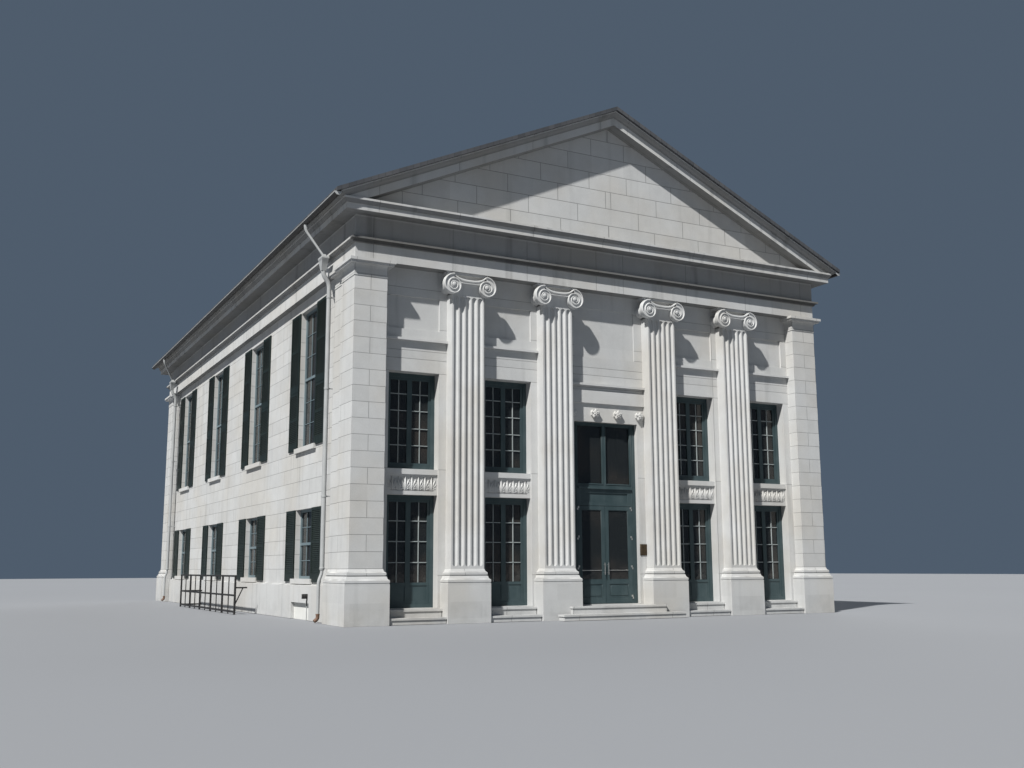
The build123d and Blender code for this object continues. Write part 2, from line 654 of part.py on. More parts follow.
with BuildPart() as spandrels:
    for x in BAYS:
        face = FRONT_WALL + SPANDREL_SETBACK
        block(x - BAY_HALF, x + BAY_HALF, face, FRONT_IN, SPANDREL_LOW, SPANDREL_TOP)
        block(x - BAY_HALF, x + BAY_HALF, face - SPANDREL_SILL_OUT, face, SPANDREL_TOP - SPANDREL_SILL,
              SPANDREL_TOP)
        block(x - BAY_HALF + SPANDREL_EDGE, x + BAY_HALF - SPANDREL_EDGE, face - PAST, face + SPANDREL_SINK,
              SPANDREL_LOW + SPANDREL_EDGE, SPANDREL_TOP - SPANDREL_SILL - SPANDREL_EDGE / 2, Mode.SUBTRACT)

with BuildPart() as front_tall_screens:
    for x in BAYS:
        pair(x, FLOOR, SPANDREL_LOW, SCREEN_GLASS)
        for a, b in PAIR:
            block(x + a, x + b, LEAF_FACE - PAST, LEAF_FACE + LEAF_PANEL_SINK, FLOOR + FRAME_BAR + LEAF_BAR,
                  SCREEN_GLASS[0] - LEAF_BAR, Mode.SUBTRACT)

with BuildPart() as front_upper_windows:
    for x in BAYS:
        pair(x, SPANDREL_TOP, BAY_HEAD, UPPER_GLASS)

with BuildPart() as front_glass:
    for x in BAYS:
        for low, high in (SCREEN_GLASS, UPPER_GLASS):
            for a, b in PAIR:
                block(x + a, x + b, GLASS_Y, GLASS_Y + GLASS, low, high)

with BuildPart() as front_mouldings:
    for low, high in BAY_SPANS:
        block(low, high, FRONT_WALL - LABEL_OUT, FRONT_WALL, LABEL_LOW, LABEL_LOW + LABEL_TALL)
    hood = INNER_PILASTER - SHAFT / 2
    block(-hood, hood, FRONT_WALL - HOOD_OUT, FRONT_WALL, HOOD_LOW, HOOD_LOW + HOOD_TALL)
    block(-hood, hood, FRONT_WALL - BOARD_OUT, FRONT_WALL, BOARD_LOW, BOARD_LOW + BOARD_TALL)
    for n in range(ROSETTES):
        x = ROSETTE_PITCH * (n - (ROSETTES - 1) / 2)
        z = DOORWAY_HEAD + ROSETTE_RISE
        many_sided((x, FRONT_WALL, z), (x, FRONT_WALL - ROSETTE_OUT, z), ROSETTE_R, ROSETTE_SIDES)
        many_sided((x, FRONT_WALL - ROSETTE_OUT, z), (x, FRONT_WALL - ROSETTE_OUT - BOSS_OUT, z), BOSS_R,
                   EYE_SIDES)

DOOR_FACE = FRONT_WALL + DOOR_SETBACK
FRAME_BACK = DOOR_FACE + DOOR_FRAME
DOOR_HALF = DOORWAY / 2 - JAMB
TRANSOM_TOP = TRANSOM_LOW + TRANSOM_TALL
LEAF_LOW = FLOOR + LEAF_CLEAR
LEAF_TOP = TRANSOM_LOW - LEAF_CLEAR
FANLIGHT = (TRANSOM_TOP + FANLIGHT_RAIL, DOORWAY_HEAD - HEAD_RAIL)
FANLIGHT_SPANS = ((-DOOR_HALF, -MULLION / 2), (MULLION / 2, DOOR_HALF))

with BuildPart() as entrance_frame:
    block(-DOORWAY / 2, DOORWAY / 2, DOOR_FACE, FRAME_BACK, FLOOR, DOORWAY_HEAD)
    block(-DOOR_HALF, DOOR_HALF, DOOR_FACE - PAST, FRAME_BACK + PAST, FLOOR - PAST, TRANSOM_LOW,
          Mode.SUBTRACT)
    for a, b in FANLIGHT_SPANS:
        block(a, b, DOOR_FACE - PAST, FRAME_BACK + PAST, *FANLIGHT, Mode.SUBTRACT)
    block(TRANSOM_EDGE - DOOR_HALF, DOOR_HALF - TRANSOM_EDGE, DOOR_FACE - PAST, DOOR_FACE + TRANSOM_FIELD,
          TRANSOM_LOW + TRANSOM_EDGE, TRANSOM_TOP - TRANSOM_EDGE - TRANSOM_LEDGE, Mode.SUBTRACT)
    block(-DOOR_HALF, DOOR_HALF, DOOR_FACE - TRANSOM_LEDGE_OUT, DOOR_FACE, TRANSOM_TOP - TRANSOM_LEDGE,
          TRANSOM_TOP)

with BuildPart() as transom_glass:
    for a, b in FANLIGHT_SPANS:
        block(a, b, (DOOR_FACE + FRAME_BACK - GLASS) / 2, (DOOR_FACE + FRAME_BACK + GLASS) / 2, *FANLIGHT)

LEAF_OUT = DOOR_HALF - LEAF_GAP
LEAF_BACK = DOOR_FACE + LEAF_THICK
LEAF_GLASS = (LEAF_LOW + LEAF_GLASS_LOW, LEAF_TOP - STILE)


def leaf(side):
    """One door leaf: stiles, rails and a lower panel, open for its glass."""
    a, b = sorted((side * LEAF_GAP, side * LEAF_OUT))
    block(a, b, DOOR_FACE, LEAF_BACK, LEAF_LOW, LEAF_TOP)
    block(a + STILE, b - STILE, DOOR_FACE - PAST, LEAF_BACK + PAST, *LEAF_GLASS, Mode.SUBTRACT)
    for y0, y1 in ((DOOR_FACE - PAST, DOOR_FACE + LEAF_PANEL_SINK),
                   (LEAF_BACK - LEAF_PANEL_SINK, LEAF_BACK + PAST)):
        block(a + STILE, b - STILE, y0, y1, LEAF_LOW + LEAF_PANEL_LOW, LEAF_LOW + LEAF_PANEL_TOP,
              Mode.SUBTRACT)


def pane(side):
    """Glass of one door leaf."""
    a, b = sorted((side * LEAF_GAP, side * LEAF_OUT))
    middle = (DOOR_FACE + LEAF_BACK) / 2
    block(a + STILE, b - STILE, middle - GLASS / 2, middle + GLASS / 2, *LEAF_GLASS)


def pull(side):
    """Pull handle of one leaf: an upright bar on two short stand-offs."""
    x = side * (LEAF_GAP + STILE / 2)
    y = DOOR_FACE - PULL_OUT
    z = LEAF_LOW + PULL_RISE
    many_sided((x, y, z - PULL_LONG / 2), (x, y, z + PULL_LONG / 2), PULL_R, PULL_SIDES)
    for level in (z - PULL_POSTS / 2, z + PULL_POSTS / 2):
        many_sided((x, DOOR_FACE, level), (x, y, level), PULL_POST_R, PULL_SIDES)


with BuildPart() as door_left:
    leaf(-1)

with BuildPart() as door_right:
    leaf(1)

with BuildPart() as door_glass_left:
    pane(-1)

with BuildPart() as door_glass_right:
    pane(1)

with BuildPart() as door_pull_left:
    pull(-1)

with BuildPart() as door_pull_right:
    pull(1)

HINGE_X = DOOR_HALF + HINGE_SIDE
HINGE_SPACING = (LEAF_TOP - LEAF_LOW - 2 * HINGE_END) / (HINGES - 1)


def knuckles(side, toward, lift):
    """Half of each hinge of one leaf: a barrel and its plate, on the jamb or on the leaf."""
    tall = HINGE_TALL / 2 - CLEAR / 2
    y = DOOR_FACE - HINGE_OUT
    for n in range(HINGES):
        low = LEAF_LOW + HINGE_END + HINGE_SPACING * n + lift * (HINGE_TALL / 2 + CLEAR / 2)
        many_sided((side * HINGE_X, y, low), (side * HINGE_X, y, low + tall), HINGE_R, HINGE_SIDES)
        block(side * (HINGE_X + toward * HINGE_R / 2), side * (HINGE_X + toward * HINGE_PLATE),
              DOOR_FACE - HINGE_R + PAST, DOOR_FACE, low, low + tall)


with BuildPart() as hinge_jamb_halves:
    knuckles(-1, 1, 0)
    knuckles(1, 1, 0)

with BuildPart() as hinge_leaf_left:
    knuckles(-1, -1, 1)

with BuildPart() as hinge_leaf_right:
    knuckles(1, -1, 1)


def step(x0, x1, y0, y1, top):
    """One stone step: a tread slab with a nosing at its front and ends, on the stone under it."""
    block(x0, x1, y0, y1, top - TREAD, top)
    block(x0 + NOSING, x1 - NOSING, y0 + NOSING, y1, 0, top - TREAD)


PLINTH_FACE = FRONT - PLINTH_OUT
PLINTH_HALF = SHAFT / 2 + PLINTH_OUT

with BuildPart() as entrance_steps:
    between = INNER_PILASTER - PLINTH_HALF
    block(-DOORWAY / 2, DOORWAY / 2, FRONT_WALL, FRONT_IN, 0, FLOOR)
    block(-between, between, PLINTH_FACE, FRONT_WALL, 0, STEP_TOP)
    step(-STEP_WIDE / 2, STEP_WIDE / 2, PLINTH_FACE - STEP_FRONT, PLINTH_FACE, STEP_TOP)
    step(-LOW_STEP_WIDE / 2, LOW_STEP_WIDE / 2, PLINTH_FACE - STEP_FRONT - STEP_GOING,
         PLINTH_FACE - STEP_FRONT + NOSING, LOW_STEP_TOP)

with BuildPart() as bay_steps:
    sides = ((-PIER_INNER + PLINTH_OUT, PILASTERS[0] - PLINTH_HALF),
             (PILASTERS[0] + PLINTH_HALF, PILASTERS[1] - PLINTH_HALF))
    for a, b in sides:
        for x0, x1 in ((a, b), (-b, -a)):
            step(x0, x1, FRONT + BAY_STEP_BACK, FRONT_WALL, STEP_TOP)
            step(x0, x1, FRONT + BAY_STEP_BACK - BAY_STEP_GOING, FRONT + BAY_STEP_BACK + NOSING,
                 LOW_STEP_TOP)

# Each window piece is drawn once with its wall face on Y = 0, looking along +Y, and then set in place.
WINDOW_PLACES = [Location((-SIDE_WALL, y, 0), (0, 0, -90)) for y in SIDE_WINDOWS]
WINDOW_PLACES += [Location((SIDE_WALL, y, 0), (0, 0, 90)) for y in SIDE_WINDOWS]
WINDOW_PLACES += [Location((x, BACK_WALL, 0), (0, 0, 180)) for x in BACK_WINDOWS]
PANE_HALF = WINDOW / 2 - SASH
PANE_Y = SASH_SETBACK + (SASH_DEPTH - GLASS) / 2


def sashes(low, high):
    """Clear heights of the two sashes of a window."""
    middle = (low + high) / 2
    return (low + SASH, middle - SASH / 2), (middle + SASH / 2, high - SASH)


with BuildPart() as one_frame:
    for low, high in STOREYS:
        block(-WINDOW / 2, WINDOW / 2, SASH_SETBACK, SASH_SETBACK + SASH_DEPTH, low, high)
        for z0, z1 in sashes(low, high):
            block(-PANE_HALF, PANE_HALF, SASH_SETBACK - PAST, SASH_SETBACK + SASH_DEPTH + PAST, z0, z1,
                  Mode.SUBTRACT)

with BuildPart() as one_glass:
    for low, high in STOREYS:
        for z0, z1 in sashes(low, high):
            block(-PANE_HALF, PANE_HALF, PANE_Y, PANE_Y + GLASS, z0, z1)

with BuildPart() as one_sill:
    for top, _ in STOREYS:
        block(-WINDOW / 2, WINDOW / 2, 0, WALL, top - SILL, top)
        block(-SILL_WIDE / 2, SILL_WIDE / 2, -SILL_OUT, 0, top - SILL, top)

with BuildPart() as one_shutter_set:
    split_z = HIGH_SILL + SHUTTER_SPLIT
    for low, high in ((LOW_SILL - LOW_SHUTTER_DROP, LOW_HEAD),
                      (HIGH_SILL - HIGH_SHUTTER_DROP, split_z - SHUTTER_JOINT), (split_z, HIGH_HEAD)):
        for side in (-1, 1):
            near = side * (WINDOW / 2 + SHUTTER_JOINT)
            far = near + side * SHUTTER
            block(near, far, -SHUTTER_THICK, 0, low, high)
            block(near + side * SHUTTER_RAIL, far - side * SHUTTER_RAIL, -SHUTTER_THICK - PAST,
                  -SHUTTER_THICK + LOUVRE_SINK, low + SHUTTER_FOOT, high - SHUTTER_RAIL, Mode.SUBTRACT)
    # The foot of a shutter is cut round the end of its sill.
    for top, _ in STOREYS:
        block(-SILL_WIDE / 2 - SHUTTER_JOINT, SILL_WIDE / 2 + SHUTTER_JOINT, -SHUTTER_THICK - PAST, PAST,
              top - SILL, top + SHUTTER_JOINT, Mode.SUBTRACT)

with BuildPart() as window_frames:
    with Locations(*WINDOW_PLACES):
        add(one_frame.part)

with BuildPart() as window_glass:
    with Locations(*WINDOW_PLACES):
        add(one_glass.part)

with BuildPart() as window_sills:
    with Locations(*WINDOW_PLACES):
        add(one_sill.part)

with BuildPart() as shutters:
    with Locations(*WINDOW_PLACES):
        add(one_shutter_set.part)

with BuildPart() as area_railing:
    line = -SIDE_WALL - RAILING_OUT
    ends = (FRONT + RAILING_FROM, FRONT + RAILING_TO)
    half = RAILING_BAR / 2
    for n in range(RAILING_POSTS):
        y = ends[0] + (ends[1] - ends[0]) * n / (RAILING_POSTS - 1)
        block(line - half, line + half, y - half, y + half, 0, RAILING_HEIGHTS[-1] + RAILING_BAR)
    for z in RAILING_HEIGHTS:
        block(line - RAILING_FLAT / 2, line + RAILING_FLAT / 2, *ends, z, z + RAILING_BAR)
    for z in RAILING_HEIGHTS[:-1]:
        block(line, -FOOTING_FACE, ends[1] - RAILING_FLAT / 2, ends[1] + RAILING_FLAT / 2, z,
              z + RAILING_BAR)


def pipe_run(points, radius):
    """Many-sided pipe along a path with mitred corners."""
    with BuildLine() as run:
        Polyline(*points)
    with BuildSketch(Plane(origin=run.line @ 0, z_dir=run.line % 0)) as section:
        RegularPolygon(radius, PIPE_SIDES)
    sweep(section.sketch, path=run.line, transition=Transition.RIGHT)


OUTLET_TOP = GUTTER_Z - GUTTER_R - CLEAR
HEAD_X = HALF + CROWN_OUT + HEAD_DEEP / 2
HEAD_TOP = ARCHITRAVE + ARCHITRAVE_TALL
PIPE_X = SIDE_WALL + PIPE_OFF
KICK_X = PIPE_X + KICK_OUT

with BuildPart() as downspouts:
    for sx in (-1, 1):
        for y, inward in ((FRONT + PIPE_NEAR, 1), (BACK - PIPE_FAR, -1)):
            outlet = y + inward * OUTLET_SHIFT
            pipe_run([(sx * GUTTER_AXIS, outlet, OUTLET_TOP),
                      (sx * GUTTER_AXIS, outlet, OUTLET_TOP - OUTLET_DROP),
                      (sx * HEAD_X, y, HEAD_TOP - HEAD_PEAK)], PIPE_R)
            half_head = [(HEAD_WIDE / 2, HEAD_TOP - HEAD_PEAK),
                         (HEAD_WIDE / 2, HEAD_TOP - HEAD_PEAK - HEAD_BOX),
                         (PIPE_R, HEAD_TOP - HEAD_TALL)]
            with BuildSketch(Plane.YZ.offset(sx * HEAD_X)) as face:
                with BuildLine():
                    Polyline((y, HEAD_TOP), *[(y + u, z) for u, z in half_head],
                             *[(y - u, z) for u, z in half_head[::-1]], close=True)
                make_face()
            extrude(face.sketch, amount=HEAD_DEEP / 2, both=True)
            pipe_run([(sx * HEAD_X, y, HEAD_TOP - HEAD_TALL + PIPE_R), (sx * HEAD_X, y, ARCHITRAVE),
                      (sx * PIPE_X, y, ARCHITRAVE - JOG), (sx * PIPE_X, y, KICK_HIGH),
                      (sx * KICK_X, y, KICK_LOW), (sx * KICK_X, y, SHOE_TALL / 2)], PIPE_R)
            pipe_run([(sx * KICK_X, y, SHOE_TALL), (sx * KICK_X, y, SHOE_TALL / 2),
                      (sx * (KICK_X + SHOE_OUT), y, SHOE_R)], SHOE_R)
            for n in range(STRAPS):
                z = KICK_HIGH + (ARCHITRAVE - JOG - KICK_HIGH) * (n + 1 / 2) / STRAPS
                block(sx * SIDE_WALL, sx * PIPE_X, y - STRAP / 2, y + STRAP / 2, z, z + STRAP)

PARTS = {
    "front_wall_left": front_wall_left, "front_wall_right": front_wall_right,
    "front_wall_over_door": front_wall_over_door, "left_wall": left_wall, "right_wall": right_wall,
    "back_wall": back_wall, "corner_piers": corner_piers, "base_courses": base_courses,
    "vent_boards": vent_boards, "pilaster_plinths": pilaster_plinths,
    "pilaster_shafts": pilaster_shafts, "ionic_capitals": ionic_capitals,
    "entablature_front": entablature_front, "entablature_back": entablature_back,
    "entablature_left": entablature_left, "entablature_right": entablature_right,
    "tympana": tympana, "raking_cornices": raking_cornices, "eaves": eaves, "roof_left": roof_left,
    "roof_right": roof_right, "gutters": gutters, "ground_floor": ground_floor,
    "upper_floor": upper_floor, "spandrels": spandrels, "front_tall_screens": front_tall_screens,
    "front_upper_windows": front_upper_windows, "front_glass": front_glass,
    "front_mouldings": front_mouldings, "entrance_frame": entrance_frame,
    "transom_glass": transom_glass, "door_left": door_left, "door_right": door_right,
    "door_glass_left": door_glass_left, "door_glass_right": door_glass_right,
    "door_pull_left": door_pull_left, "door_pull_right": door_pull_right,
    "hinge_jamb_halves": hinge_jamb_halves, "hinge_leaf_left": hinge_leaf_left,
    "hinge_leaf_right": hinge_leaf_right, "entrance_steps": entrance_steps, "bay_steps": bay_steps,
    "window_frames": window_frames, "window_glass": window_glass, "window_sills": window_sills,
    "shutters": shutters, "area_railing": area_railing, "downspouts": downspouts,
}

os.makedirs("parts", exist_ok=True)
for name, piece in PARTS.items():
    piece.part.label = name
    export_step(piece.part, f"parts/{name}.step")
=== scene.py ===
"""Dresses the granite town hall: finishes, glazing bars, slats, carving, ironwork and the studio."""

import logging
import math
from dataclasses import dataclass
from enum import Enum
from typing import Iterable, Sequence, Union

import bpy
from mathutils import Matrix, Vector


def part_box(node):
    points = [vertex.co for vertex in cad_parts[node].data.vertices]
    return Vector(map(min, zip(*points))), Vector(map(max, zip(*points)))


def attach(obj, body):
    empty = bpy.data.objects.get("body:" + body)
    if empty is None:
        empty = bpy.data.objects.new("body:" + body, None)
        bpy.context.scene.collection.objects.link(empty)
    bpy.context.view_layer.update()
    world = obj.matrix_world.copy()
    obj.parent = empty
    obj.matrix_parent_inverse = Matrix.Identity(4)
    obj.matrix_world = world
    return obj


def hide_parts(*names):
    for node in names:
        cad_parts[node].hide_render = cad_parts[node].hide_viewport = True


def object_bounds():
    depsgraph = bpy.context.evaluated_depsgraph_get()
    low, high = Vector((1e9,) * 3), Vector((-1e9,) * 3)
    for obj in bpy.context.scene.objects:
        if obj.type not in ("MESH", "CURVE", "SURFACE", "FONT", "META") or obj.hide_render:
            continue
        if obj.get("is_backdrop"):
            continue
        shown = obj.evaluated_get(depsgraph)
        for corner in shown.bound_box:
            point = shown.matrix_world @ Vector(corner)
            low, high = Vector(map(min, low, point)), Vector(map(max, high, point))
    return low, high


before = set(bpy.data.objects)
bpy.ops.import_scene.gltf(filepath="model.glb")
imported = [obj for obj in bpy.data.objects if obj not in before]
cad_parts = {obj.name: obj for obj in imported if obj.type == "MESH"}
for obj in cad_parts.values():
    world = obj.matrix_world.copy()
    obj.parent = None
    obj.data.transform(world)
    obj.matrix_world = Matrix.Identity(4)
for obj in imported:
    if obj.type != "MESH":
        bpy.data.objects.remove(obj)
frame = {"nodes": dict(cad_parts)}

LOG = logging.getLogger("town_hall")

Point = Sequence[float]
Colour = tuple[float, float, float]
Span = tuple[float, float]

FRONT_BAYS = (-6.4135, -3.4085, 3.4085, 6.4135)
SIDE_WINDOWS = (-9.175, -2.825, 3.525, 9.875)
BACK_WINDOWS = (-4.5, 0.0, 4.5)
BLOCK_FACES = ((0, 2, 3, 1), (4, 5, 7, 6), (0, 1, 5, 4), (2, 6, 7, 3), (0, 4, 6, 2), (1, 3, 7, 5))
ASKEW = (0.31, 0.95, 0.05)


class Body(Enum):
    """What a piece moves with."""

    BUILDING = "building"
    DOOR_LEFT = "door_left"
    DOOR_RIGHT = "door_right"


class Slot(Enum):
    """Names of the record's finishes."""

    GRANITE = "granite"
    GUTTER = "gutter_metal"
    JOINERY = "joinery"
    DOOR = "door_joinery"
    SASH = "sash_paint"
    SHUTTER = "shutter_paint"
    STEEL = "bright_metal"
    IRON = "black_iron"


class Axis(Enum):
    """Way that a turned form's axis points."""

    X = (1.0, 0.0, 0.0)
    Y = (0.0, 1.0, 0.0)
    Z = (0.0, 0.0, 1.0)


class Hand(Enum):
    """Which leaf of the door, as seen from the front."""

    LEFT = "left"
    RIGHT = "right"


class Value:
    """A number that changes over a surface: one socket, with the arithmetic that adds Math nodes."""

    def __init__(self, paint: "Paint", socket: bpy.types.NodeSocket) -> None:
        """Keeps the tree that the socket belongs to."""
        self.paint = paint
        self.socket = socket

    def __add__(self, other: "Number") -> "Value":
        """Sum."""
        return self.paint.math("ADD", self, other)

    def __radd__(self, other: "Number") -> "Value":
        """Sum with a number on the left."""
        return self.paint.math("ADD", other, self)

    def __sub__(self, other: "Number") -> "Value":
        """Difference."""
        return self.paint.math("SUBTRACT", self, other)

    def __rsub__(self, other: "Number") -> "Value":
        """Difference with a number on the left."""
        return self.paint.math("SUBTRACT", other, self)

    def __mul__(self, other: "Number") -> "Value":
        """Product."""
        return self.paint.math("MULTIPLY", self, other)

    def __truediv__(self, other: "Number") -> "Value":
        """Quotient."""
        return self.paint.math("DIVIDE", self, other)

    def __gt__(self, other: "Number") -> "Value":
        """One where this is greater, else nought."""
        return self.paint.math("GREATER_THAN", self, other)

    def __lt__(self, other: "Number") -> "Value":
        """One where this is less, else nought."""
        return self.paint.math("LESS_THAN", self, other)

    def __abs__(self) -> "Value":
        """Size without sign."""
        return self.paint.math("ABSOLUTE", self)

    def floor(self) -> "Value":
        """Whole number below."""
        return self.paint.math("FLOOR", self)

    def to_line(self) -> "Value":
        """Distance to the nearest whole number."""
        return self.paint.math("PINGPONG", self, 0.5)

    def least(self, other: "Number") -> "Value":
        """The smaller of two."""
        return self.paint.math("MINIMUM", self, other)

    def step(self, low: float, high: float) -> "Value":
        """Rises smoothly from nought at low to one at high."""
        return self.paint.node("ShaderNodeMapRange", {"interpolation_type": "SMOOTHSTEP"},
                               {0: self, 1: low, 2: high})


Number = Union[Value, float]


class Paint:
    """One material while it is made: its tree and the few ways to add to it."""

    def __init__(self, name: str) -> None:
        """Starts a material with its surface shader.

        Args:
            name: of the material.
        """
        self.material = bpy.data.materials.new(name)
        self.material.use_nodes = True
        self.tree = self.material.node_tree
        self.surface = self.tree.nodes["Principled BSDF"]

    def node(self, kind: str, settings: dict[str, object], inputs: dict[Union[int, str], object],
             output: Union[int, str] = 0) -> Value:
        """Adds one node.

        Args:
            kind: type of the node.
            settings: attributes that are set first.
            inputs: values or links by socket name or place.
            output: which socket the result comes from.

        Returns:
            The node's output.
        """
        made = self.tree.nodes.new(kind)
        for name, setting in settings.items():
            setattr(made, name, setting)
        for name, given in inputs.items():
            self.feed(made.inputs[name], given)
        return Value(self, made.outputs[output])

    def feed(self, socket: bpy.types.NodeSocket, given: object) -> None:
        """Links a value to a socket, or sets a plain number or colour on it.

        Args:
            socket: what is fed.
            given: the value, number or colour.
        """
        if isinstance(given, Value):
            self.tree.links.new(given.socket, socket)
        else:
            socket.default_value = given

    def math(self, operation: str, *terms: Number) -> Value:
        """Adds a Math node on the terms given."""
        return self.node("ShaderNodeMath", {"operation": operation}, dict(enumerate(terms)))

    def place(self) -> tuple[Value, Value, Value]:
        """Where a point is on the building, in metres."""
        spot = self.node("ShaderNodeTexCoord", {}, {}, "Object")
        return tuple(self.node("ShaderNodeSeparateXYZ", {}, {0: spot}, axis) for axis in range(3))

    def facing(self) -> tuple[Value, Value, Value]:
        """Works out how squarely a face looks along the axes.

        Returns:
            Shares along x and y without sign, and along z with its sign.
        """
        normal = self.node("ShaderNodeNewGeometry", {}, {}, "True Normal")
        parts = tuple(self.node("ShaderNodeSeparateXYZ", {}, {0: normal}, axis) for axis in range(3))
        return abs(parts[0]), abs(parts[1]), parts[2]

    def spot(self, x: Number, y: Number, z: Number) -> Value:
        """Joins three numbers into a vector."""
        return self.node("ShaderNodeCombineXYZ", {}, {0: x, 1: y, 2: z})

    def noise(self, spot: Value, scale: float, detail: float = 2.0) -> Value:
        """Cloudy noise between nought and one."""
        return self.node("ShaderNodeTexNoise", {}, {"Vector": spot, "Scale": scale, "Detail": detail})

    def chance(self, spot: Value) -> Value:
        """One random number for each whole place."""
        return self.node("ShaderNodeTexWhiteNoise", {}, {"Vector": spot})

    def mix(self, first: object, second: object, share: Number) -> Value:
        """Blends two colours."""
        ends = [given if isinstance(given, Value) else (*given, 1.0) for given in (first, second)]
        return self.node("ShaderNodeMix", {"data_type": "RGBA"}, {0: share, 6: ends[0], 7: ends[1]}, 2)

    def scaled(self, colour: Value, amount: Number) -> Value:
        """Makes a colour darker or lighter."""
        return self.node("ShaderNodeVectorMath", {"operation": "SCALE"}, {0: colour, "Scale": amount})

    def bump(self, height: Value) -> None:
        """Raises the surface by a height in metres."""
        raised = self.node("ShaderNodeBump", {}, {"Height": height, "Distance": 1.0, "Strength": 1.0})
        self.feed(self.surface.inputs["Normal"], raised)

    def set(self, **inputs: object) -> None:
        """Sets the surface shader's sockets, with underscores for spaces."""
        for name, given in inputs.items():
            self.feed(self.surface.inputs[name.replace("_", " ")], given)


@dataclass(frozen=True)
class Coursing:
    """How a granite face is cut into blocks, in metres.

    Courses start at a height and repeat, or joints lie at given levels. Blocks on the front are counted both
    ways from beside the middle, blocks on the sides from front to back. Joints show above and before a place.
    """

    start: float = 1.491
    course: float = 0.45
    front: float = 1.52
    side: float = 1.75
    origin_x: float = 0.0
    origin_y: float = 0.0
    stagger: float = 0.5
    wander: float = 0.22
    joint: float = 0.006
    levels: tuple[float, ...] = ()
    above: float = -1.0
    before: float = 100.0


UNCUT = Coursing(start=-4.0, course=40.0, front=30.0, side=30.0, origin_x=9.0, origin_y=9.0, stagger=0.0)


@dataclass(frozen=True)
class ShadeAndStain:
    """Painted shade, with some real staining, in the lee of the cornice: on soffits, on the frieze and on the
    architrave's crown.

    A share is how much darker the stone gets. A pair of heights is where a darkening begins and is full, or
    where it fades and ends.
    """

    soffit: float = 0.55
    frieze: float = 0.38
    crown: float = 0.684
    frieze_foot: tuple[float, float] = (10.5, 10.7)
    frieze_head: tuple[float, float] = (11.2, 11.3)
    crown_foot: tuple[float, float] = (10.44, 10.5)
    crown_head: tuple[float, float] = (10.63, 10.66)
    crown_beyond: float = 13.96

    def over(self, shade: Value, y: Value, z: Value, facing_z: Value) -> Value:
        """Darkens the stone's tone with painted shade and some staining.

        Args:
            shade: the tone that the darkening lies over.
            y: place from front to back.
            z: height.
            facing_z: how squarely the face looks up.

        Returns:
            The darkened tone.
        """
        # Painted shade, partly real staining: downward soffits, the frieze under the cornice and the
        # architrave's crown are darkened.
        frieze = z.step(*self.frieze_foot) * (1.0 - z.step(*self.frieze_head))
        crown = z.step(*self.crown_foot) * (1.0 - z.step(*self.crown_head)) * (abs(y) > self.crown_beyond)
        shade = shade * (1.0 - (facing_z < -0.25) * self.soffit)
        return shade * (1.0 - frieze * self.frieze) * (1.0 - crown * self.crown)


